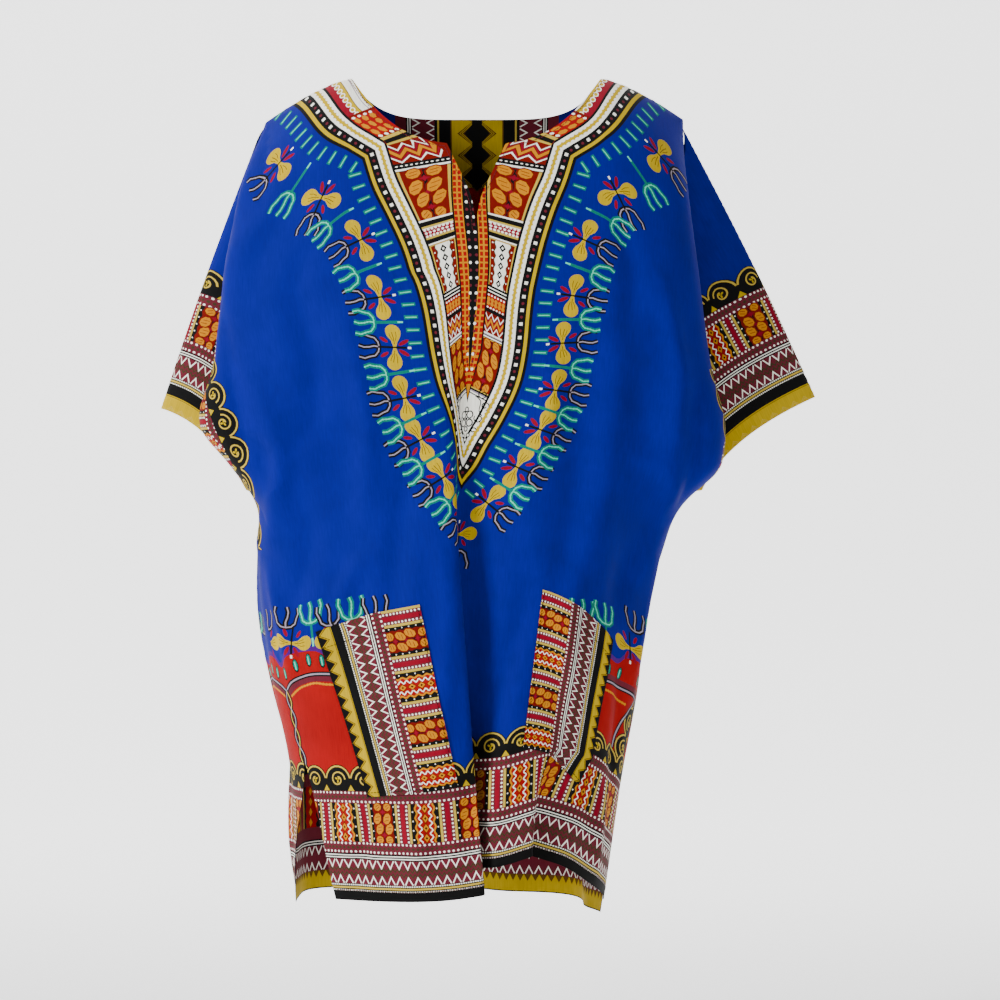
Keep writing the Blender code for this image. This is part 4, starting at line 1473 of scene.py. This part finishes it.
def cut_flat(outline, shapes, spacing, least=0.0):
    """Triangles of a flat cloth, each with the colour of the topmost shape over it."""
    points = []
    faces = []
    colours = []
    for colour, polygon in [(None, outline)] + list(shapes):
        size = polygon.max(axis=0) - polygon.min(axis=0)
        tiny = size.max() < least or abs(area_of(polygon)) < LEAST_AREA
        if colour is not None and (tiny or crosses(polygon)):
            continue
        if area_of(polygon) < 0:
            polygon = polygon[::-1]
        first = len(points)
        points.extend(polygon)
        faces.append(list(range(first, first + len(polygon))))
        colours.append(colour)
    low = outline.min(axis=0)
    high = outline.max(axis=0)
    rows = int((high[1] - low[1]) / (spacing * ROW_SHARE)) + 1
    columns = int((high[0] - low[0]) / spacing) + 1
    for i in range(rows):
        y = low[1] + (i + 0.3) * spacing * ROW_SHARE
        for j in range(columns):
            points.append((low[0] + (j + 0.5 * (i % 2) + 0.2) * spacing, y))
    flat = [Vector((float(p[0]), float(p[1]))) for p in points]
    verts, _, triangles, _, _, owners = delaunay_2d_cdt(flat, [], faces, 0, JOIN_WITHIN, True)
    verts = np.array([(v.x, v.y) for v in verts])
    corners = np.array([verts[face[:3]].mean(axis=0) for face in triangles])
    inside = np.nonzero(within(outline, corners))[0].tolist()
    kept = np.array([triangles[k] for k in inside])
    a, b, c = (verts[kept[:, k]] for k in range(3))
    area = ((b[:, 0] - a[:, 0]) * (c[:, 1] - a[:, 1]) - (b[:, 1] - a[:, 1]) * (c[:, 0] - a[:, 0])) / 2
    kept[area < 0] = kept[area < 0][:, ::-1]
    # A shape that its mapping has folded can claim cloth outside itself, and is left out
    claimed = np.zeros(len(faces))
    for k, size in zip(inside, np.abs(area)):
        claimed[owners[k]] += size
    sizes = np.array([abs(area_of(np.array([points[i] for i in face]))) for face in faces])
    folded_shapes = set(np.nonzero(claimed[1:] > sizes[1:] * CLAIM_SHARE + CLAIM_SPARE)[0] + 1)
    tops = []
    for k in inside:
        sound = [face for face in owners[k] if face not in folded_shapes]
        tops.append(colours[max(sound, default=0)])
    return verts, kept, tops


def rim_of(triangles):
    """The longest closed boundary of a set of triangles, as a loop of vertex numbers."""
    edges = set()
    for a, b, c in triangles.tolist():
        edges.update(((a, b), (b, c), (c, a)))
    following = {}
    for start, end in edges:
        if (end, start) not in edges:
            following.setdefault(start, []).append(end)
    loops = []
    while following:
        loop = [next(iter(following))]
        while loop[-1] in following:
            ends = following[loop[-1]]
            end = ends.pop()
            if not ends:
                del following[loop[-1]]
            loop.append(end)
        loops.append(loop[:-1])
    return max(loops, key=len)


def sew(name, node, ground, outline, place, normal, shapes, inside, grids=(GRID, INSIDE_GRID)):
    """A cloth piece: an outer layer with the whole print, an inner one, and a rim between them."""
    flat, triangles, tops = cut_flat(outline, shapes, grids[0])
    loop = rim_of(triangles)
    least = INSIDE_LEAST.get(node, 5.0)
    flat_in, triangles_in, tops_in = cut_flat(flat[loop], inside, grids[1], least)
    edge = flat[loop]
    layers = []
    for points, shift in ((flat, CLOTH / 2), (flat_in, -CLOTH / 2), (edge, CLOTH / 2), (edge, -CLOTH / 2)):
        out = normal(points)
        layers.append((place(points) + out * shift, out * (1 if shift > 0 else -1)))
    count = [0]
    for points, _ in layers:
        count.append(count[-1] + len(points))
    verts = np.concatenate([points for points, _ in layers])
    around = np.roll(layers[2][0], -1, axis=0) - layers[2][0]
    outward = np.cross(around, layers[2][1])
    outward /= np.maximum(np.linalg.norm(outward, axis=1, keepdims=True), 1e-9)
    corner = verts[triangles[:, 1]] - verts[triangles[:, 0]]
    other = verts[triangles[:, 2]] - verts[triangles[:, 0]]
    facing = np.einsum("ij,ij->i", np.cross(corner, other), layers[0][1][triangles[:, 0]])
    flip = np.median(np.sign(facing)) < 0
    if flip:
        outward = -outward
    normals = np.concatenate([layers[0][1], layers[1][1], -outward, -outward])
    size = len(edge)
    ring_at = np.arange(size)
    after = (ring_at + 1) % size
    rim = np.stack([count[2] + ring_at, count[2] + after, count[3] + after, count[3] + ring_at], axis=1)
    outer = triangles[:, ::-1] if flip else triangles
    inner = triangles_in + count[1] if flip else triangles_in[:, ::-1] + count[1]
    rim = rim if flip else rim[:, ::-1]
    faces = [tuple(face) for part in (outer, inner, rim) for face in part.tolist()]
    mesh = bpy.data.meshes.new(name)
    mesh.from_pydata([tuple(v) for v in verts], [], faces)
    used = sorted({colour or ground for colour in tops + tops_in} | {ground})
    for colour in used:
        mesh.materials.append(cotton(colour))
    index = {colour: k for k, colour in enumerate(used)}
    picks = [index[colour or ground] for colour in tops + tops_in] + [index[ground]] * len(rim)
    mesh.polygons.foreach_set("material_index", picks)
    layer = mesh.uv_layers.new(name="cloth")
    all_flat = np.concatenate([flat, flat_in, edge, edge]) * MM
    corners = np.empty(len(mesh.loops), dtype=np.int32)
    mesh.loops.foreach_get("vertex_index", corners)
    layer.data.foreach_set("uv", all_flat[corners].astype(np.float32).ravel())
    mesh.shade_smooth()
    mesh.normals_split_custom_set_from_vertices([tuple(n) for n in normals])
    obj = shown_object(name, mesh)
    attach(obj, "root")
    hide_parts(node)
    print(name, "triangles", len(outer) + len(inner) + 2 * len(rim), "shapes", len(shapes))
    return obj


# Materials: one cotton for each colour of the print

COTTONS = {}
DYE_DARK = 0.84
DYE_LIGHT = 1.12
DYE_RANGE = (("From Min", 0.7), ("From Max", 1.3), ("To Min", 0.0), ("To Max", 1.0))


def add_node(tree, kind, values=(), **settings):
    """A new shader node with some input values and settings."""
    made = tree.nodes.new("ShaderNode" + kind)
    for key, value in settings.items():
        setattr(made, key, value)
    for key, value in values:
        made.inputs[key].default_value = value
    return made


def cotton(name):
    """Plain-weave cotton in one colour of the print, with fine slubs, worn dye and a waxy sheen."""
    if name in COTTONS:
        return COTTONS[name]
    material = bpy.data.materials.new("cotton_" + name)
    material.use_nodes = True
    tree = material.node_tree
    link = tree.links.new
    shader = tree.nodes["Principled BSDF"]
    base = PALETTE[name]
    place = add_node(tree, "UVMap", uv_map="cloth")
    # Slubs of the yarn, long down the cloth
    stretch = add_node(tree, "Mapping", (("Scale", (900, 60, 1)),))
    link(place.outputs["UV"], stretch.inputs["Vector"])
    slub = add_node(tree, "TexNoise", (("Scale", 1.0), ("Detail", 2.0)))
    link(stretch.outputs["Vector"], slub.inputs["Vector"])
    # Broad uneven dye
    dye = add_node(tree, "TexNoise", (("Scale", 28.0), ("Detail", 4.0)))
    link(place.outputs["UV"], dye.inputs["Vector"])
    both = add_node(tree, "Math", operation="ADD")
    link(slub.outputs["Fac"], both.inputs[0])
    link(dye.outputs["Fac"], both.inputs[1])
    ramp = add_node(tree, "MapRange", DYE_RANGE)
    link(both.outputs["Value"], ramp.inputs["Value"])
    mix = add_node(tree, "Mix", data_type="RGBA")
    mix.inputs["A"].default_value = tuple(c * DYE_DARK for c in base) + (1.0,)
    mix.inputs["B"].default_value = tuple(min(c * DYE_LIGHT, 1.0) for c in base) + (1.0,)
    link(ramp.outputs["Result"], mix.inputs["Factor"])
    link(mix.outputs["Result"], shader.inputs["Base Color"])
    # Over-and-under weave as two crossed waves
    weave = add_node(tree, "Math", operation="MULTIPLY")
    for k, direction in enumerate(("X", "Y")):
        yarn = add_node(tree, "TexWave", (("Scale", 420.0), ("Distortion", 0.6)), bands_direction=direction)
        link(place.outputs["UV"], yarn.inputs["Vector"])
        link(yarn.outputs["Fac"], weave.inputs[k])
    total = add_node(tree, "Math", operation="ADD")
    link(weave.outputs["Value"], total.inputs[0])
    link(slub.outputs["Fac"], total.inputs[1])
    bump = add_node(tree, "Bump", (("Strength", 0.16), ("Distance", 0.0004)))
    link(total.outputs["Value"], bump.inputs["Height"])
    link(bump.outputs["Normal"], shader.inputs["Normal"])
    shader.inputs["Roughness"].default_value = 0.78
    shader.inputs["Specular IOR Level"].default_value = 0.10
    shader.inputs["Sheen Weight"].default_value = 0.02
    shader.inputs["Sheen Roughness"].default_value = 0.5
    COTTONS[name] = material
    return material


# The cloth pieces

def panel_outline(panel):
    """The edge of the front or the back as it lies flat, in millimetres."""
    levels = np.linspace(0, LENGTH, SIDE_SAMPLES)
    left = pairs(cloth_end(panel, -1, levels), levels) / MM
    right = pairs(cloth_end(panel, 1, levels), levels) / MM
    across = np.linspace(left[0, 0], right[0, 0], TOP_SAMPLES) * MM
    top = pairs(across, top_edge(panel, across)) / MM
    level = np.full(HEM_SAMPLES, LENGTH / MM)
    bottom = pairs(np.linspace(left[-1, 0], right[-1, 0], HEM_SAMPLES), level)
    half = len(top) // 2
    upper = np.concatenate([even(top[: half + 1], NECK_STEP)[:-1], even(top[half:], NECK_STEP)])
    sides = (upper, even(right)[1:-1], even(bottom)[::-1], even(left)[::-1][1:-1])
    return np.concatenate(sides)


def panel_place(panel, lift=0.0):
    """Functions that place flat points of a panel and give their outward directions."""

    def normal(points):
        return surface_normal(panel, points[:, 0] * MM, np.clip(points[:, 1] * MM, 0, LENGTH))

    def place(points):
        flat = surface(panel, points[:, 0] * MM, np.clip(points[:, 1] * MM, 0, LENGTH))
        return flat + normal(points) * lift if lift else flat

    return place, normal


def panel_piece(panel, shapes):
    place, normal = panel_place(panel)
    outline = panel_outline(panel)
    return sew(panel + "_cloth", panel, "blue", outline, place, normal, shapes, shapes)


def sleeve_tables(name):
    """For angles round the sleeve: how far round its hem they are, and how long the sleeve is there."""
    turn = np.linspace(-math.pi, math.pi, TURN_SAMPLES)
    root, hem, _ = sleeve_ends(name, turn % (2 * math.pi))
    steps = np.linalg.norm(np.diff(hem, axis=0), axis=1)
    way = np.concatenate([[0], np.cumsum(steps)])
    way -= way[len(way) // 2]
    return turn, way / MM, np.linalg.norm(hem - root, axis=1) / MM


def sleeve_point(name, turn, share):
    root, hem, along = sleeve_ends(name, turn % (2 * math.pi))
    share = share[:, None]
    point = root * (1 - share) + hem * share
    point[:, 0] += SLEEVES[name][0] * SLEEVE_BULGE * np.sin(math.pi * share[:, 0]) * (1 - along)
    return point


def sleeve_piece(name):
    turn, way, long = sleeve_tables(name)
    side = SLEEVES[name][0]

    def split(points):
        angle = np.interp(points[:, 0], way, turn)
        reach = np.interp(points[:, 0], way, long)
        return angle, np.clip(1 - points[:, 1] / reach, 0, 1)

    def place(points):
        return sleeve_point(name, *split(points))

    def normal(points):
        angle, share = split(points)
        step = SLEEVE_STEP
        round_it = sleeve_point(name, angle + step, share) - sleeve_point(name, angle - step, share)
        down = sleeve_point(name, angle, np.minimum(share + step, 1.0))
        down = down - sleeve_point(name, angle, np.maximum(share - step, 0.0))
        out = np.cross(round_it, down) * side
        return out / np.maximum(np.linalg.norm(out, axis=1, keepdims=True), 1e-9)

    root_edge = even(pairs(way, long))
    hem_edge = even(np.array([(way[0], 0.0), (way[-1], 0.0)]))
    outline = np.concatenate([hem_edge, root_edge[::-1]])
    shapes = sleeve_print(way[-1])
    return sew(name + "_cloth", name, "blue", outline, place, normal, shapes, shapes,
               SLEEVE_GRIDS)


def pocket_piece(name):
    corners = np.array(POCKETS[name]) / MM
    edges = [even(np.array([corners[k], corners[(k + 1) % 4]]), 3.0)[:-1] for k in range(4)]
    place, normal = panel_place("front", POCKET_LIFT)
    shapes = pocket_print(name)
    outline = np.concatenate(edges)
    return sew(name + "_cloth", name, "maroon", outline, place, normal, shapes, [],
               POCKET_GRIDS)


front = panel_piece("front", front_print())
back = panel_piece("back", back_print())
sleeves = [sleeve_piece(name) for name in SLEEVES]
pockets = [pocket_piece(name) for name in POCKETS]


def stitched(piece, paths, place, normal, colour, slot):
    """Rows of short raised stitches along flat paths on the outside of a cloth piece."""
    verts = []
    faces = []
    for path in paths:
        spots_on = np.array(walked(path, STITCH_PITCH, 1.6))
        turn = np.radians(spots_on[:, 2])
        along = pairs(np.cos(turn), np.sin(turn))
        across = pairs(-np.sin(turn), np.cos(turn))
        ends = [spots_on[:, :2] + along * STITCH_LONG / 2 * k + across * STITCH_WIDE / 2 * j
                for k, j in ((-1, -1), (1, -1), (1, 1), (-1, 1))]
        corners = []
        for flat in ends:
            out = normal(flat)
            corners.append(place(flat) + out * CLOTH / 2)
            corners.append(place(flat) + out * (CLOTH / 2 + STITCH_HIGH * MM))
        for k in range(len(spots_on)):
            first = len(verts)
            verts.extend(tuple(corner[k]) for corner in corners)
            faces.extend([first + c for c in quad] for quad in STITCH_FACES)
    mesh = bpy.data.meshes.new(piece)
    mesh.from_pydata(verts, [], faces)
    mesh.uv_layers.new(name="cloth")
    mesh.materials.append(cotton(colour))
    obj = shown_object(piece, mesh)
    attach(obj, "root")
    return obj


def neck_rows(panel, inset_by):
    """A path that follows the neckline, and the slit, a little inside the cloth."""
    across = np.linspace(-NECK_HALF, NECK_HALF, NECK_SAMPLES)
    edge = even(pairs(across, top_edge(panel, across)) / MM, 2.0)
    if panel == "back":
        return [inset(edge, inset_by)]
    middle = len(edge) // 2
    return [inset(edge[: middle + 1], inset_by), inset(edge[middle:], inset_by)]


def hem_row(panel, up):
    level = LENGTH - up * MM
    left = float(cloth_end(panel, -1, np.array([level]))[0]) / MM
    right = float(cloth_end(panel, 1, np.array([level]))[0]) / MM
    return even(np.array([(left + 4, level / MM), (right - 4, level / MM)]), 4.0)


for panel in ("front", "back"):
    rows = neck_rows(panel, NECK_ROW) + [hem_row(panel, HEM_ROW)]
    sewn = stitched(panel + "_stitching", rows, *panel_place(panel), "maroon", "printed_body")
for name in POCKETS:
    corners = np.array(POCKETS[name]) / MM
    middle = corners.mean(axis=0)
    inner = [corner + (middle - corner) / np.hypot(*(middle - corner)) * POCKET_ROW for corner in corners]
    rows = [even(np.array([inner[k], inner[(k + 1) % 4]]), 3.0) for k in (1, 2, 3)]
    down = (corners[3] - corners[0]) / np.hypot(*(corners[3] - corners[0])) * POCKET_TOP_ROW
    rows.append(even(np.array([inner[0] + down, inner[1] + down]), 3.0))
    sewn = stitched(name + "_stitching", rows, *panel_place("front", POCKET_LIFT), "black", "printed_pocket")


def flat_size(obj):
    """Width and length of a piece's flat cloth, and its flat area, in metres."""
    mesh = obj.data
    uv = np.empty(len(mesh.loops) * 2, dtype=np.float32)
    mesh.uv_layers["cloth"].data.foreach_get("uv", uv)
    uv = uv.reshape(-1, 2)
    wide, long = (uv.max(axis=0) - uv.min(axis=0)).tolist()
    mesh.calc_loop_triangles()
    corners = np.empty(len(mesh.loop_triangles) * 3, dtype=np.int32)
    mesh.loop_triangles.foreach_get("loops", corners)
    a, b, c = (uv[corners.reshape(-1, 3)[:, k]] for k in range(3))
    twice = np.abs((b[:, 0] - a[:, 0]) * (c[:, 1] - a[:, 1]) - (b[:, 1] - a[:, 1]) * (c[:, 0] - a[:, 0]))
    return wide, long, float(twice.sum()) / 4


for piece in [front, back] + sleeves + pockets:
    wide, long, area = flat_size(piece)
    print(piece.name, "flat", round(wide, 3), round(long, 3), round(area, 4))

# Studio
FLOOR_LEVEL = -1.0
SWEEP_START = 1.6
SWEEP_ROUND = 1.6
SWEEP_TOP = 5.0
SWEEP_NEAR = -5.0
SWEEP_HALF = 7.0
sweep = [(SWEEP_NEAR, FLOOR_LEVEL), (SWEEP_START, FLOOR_LEVEL)]
for turn in np.linspace(0, math.pi / 2, 17)[1:]:
    rise = SWEEP_ROUND * (1 - math.cos(turn))
    sweep.append((SWEEP_START + SWEEP_ROUND * math.sin(turn), FLOOR_LEVEL + rise))
sweep.append((SWEEP_START + SWEEP_ROUND, SWEEP_TOP))
floor_mesh = bpy.data.meshes.new("floor")
floor_points = [(x, y, z) for y, z in sweep for x in (-SWEEP_HALF, SWEEP_HALF)]
floor_faces = [(2 * k, 2 * k + 1, 2 * k + 3, 2 * k + 2) for k in range(len(sweep) - 1)]
floor_mesh.from_pydata(floor_points, [], floor_faces)
floor_mesh.shade_smooth()
floor = shown_object("floor", floor_mesh)
floor_material = bpy.data.materials.new("floor")
floor_material.use_nodes = True
floor_shader = floor_material.node_tree.nodes["Principled BSDF"]
floor_shader.inputs["Base Color"].default_value = (0.92, 0.92, 0.92, 1)
floor_shader.inputs["Roughness"].default_value = 0.95
floor_shader.inputs["Emission Color"].default_value = (1.0, 1.0, 1.0, 1)
# The floor glows far behind the shirt and hardly at all below it, so that its folds keep their shade
floor_tree = floor_material.node_tree
floor_place = add_node(floor_tree, "TexCoord")
floor_apart = add_node(floor_tree, "SeparateXYZ")
GLOW = (("From Min", 0.2), ("From Max", 2.0), ("To Min", 0.15), ("To Max", 1.6))
floor_glow = add_node(floor_tree, "MapRange", GLOW)
floor_tree.links.new(floor_place.outputs["Object"], floor_apart.inputs["Vector"])
floor_tree.links.new(floor_apart.outputs["Y"], floor_glow.inputs["Value"])
floor_tree.links.new(floor_glow.outputs["Result"], floor_shader.inputs["Emission Strength"])
floor_mesh.materials.append(floor_material)

world = bpy.data.worlds.new("studio")
world.use_nodes = True
world.node_tree.nodes["Background"].inputs["Color"].default_value = (1.0, 1.0, 1.0, 1)
world.node_tree.nodes["Background"].inputs["Strength"].default_value = 0.24
bpy.context.scene.world = world

LIGHT_AIM = (0.0, 0.0, -0.4)
LIGHTS = (
    ("key", (-2.7, -1.7, 1.2), 0.9, 185.0),
    ("fill", (2.2, -2.5, 0.3), 1.5, 30.0),
    ("top", (0.2, 0.4, 2.2), 1.4, 36.0),
)
for light_name, light_place, light_size, power in LIGHTS:
    data = bpy.data.lights.new(light_name, "AREA")
    data.shape = "SQUARE"
    data.size = light_size
    data.energy = power
    light = shown_object(light_name, data)
    light.location = light_place
    aim = Vector(LIGHT_AIM) - Vector(light_place)
    light.rotation_euler = aim.to_track_quat("-Z", "Y").to_euler()
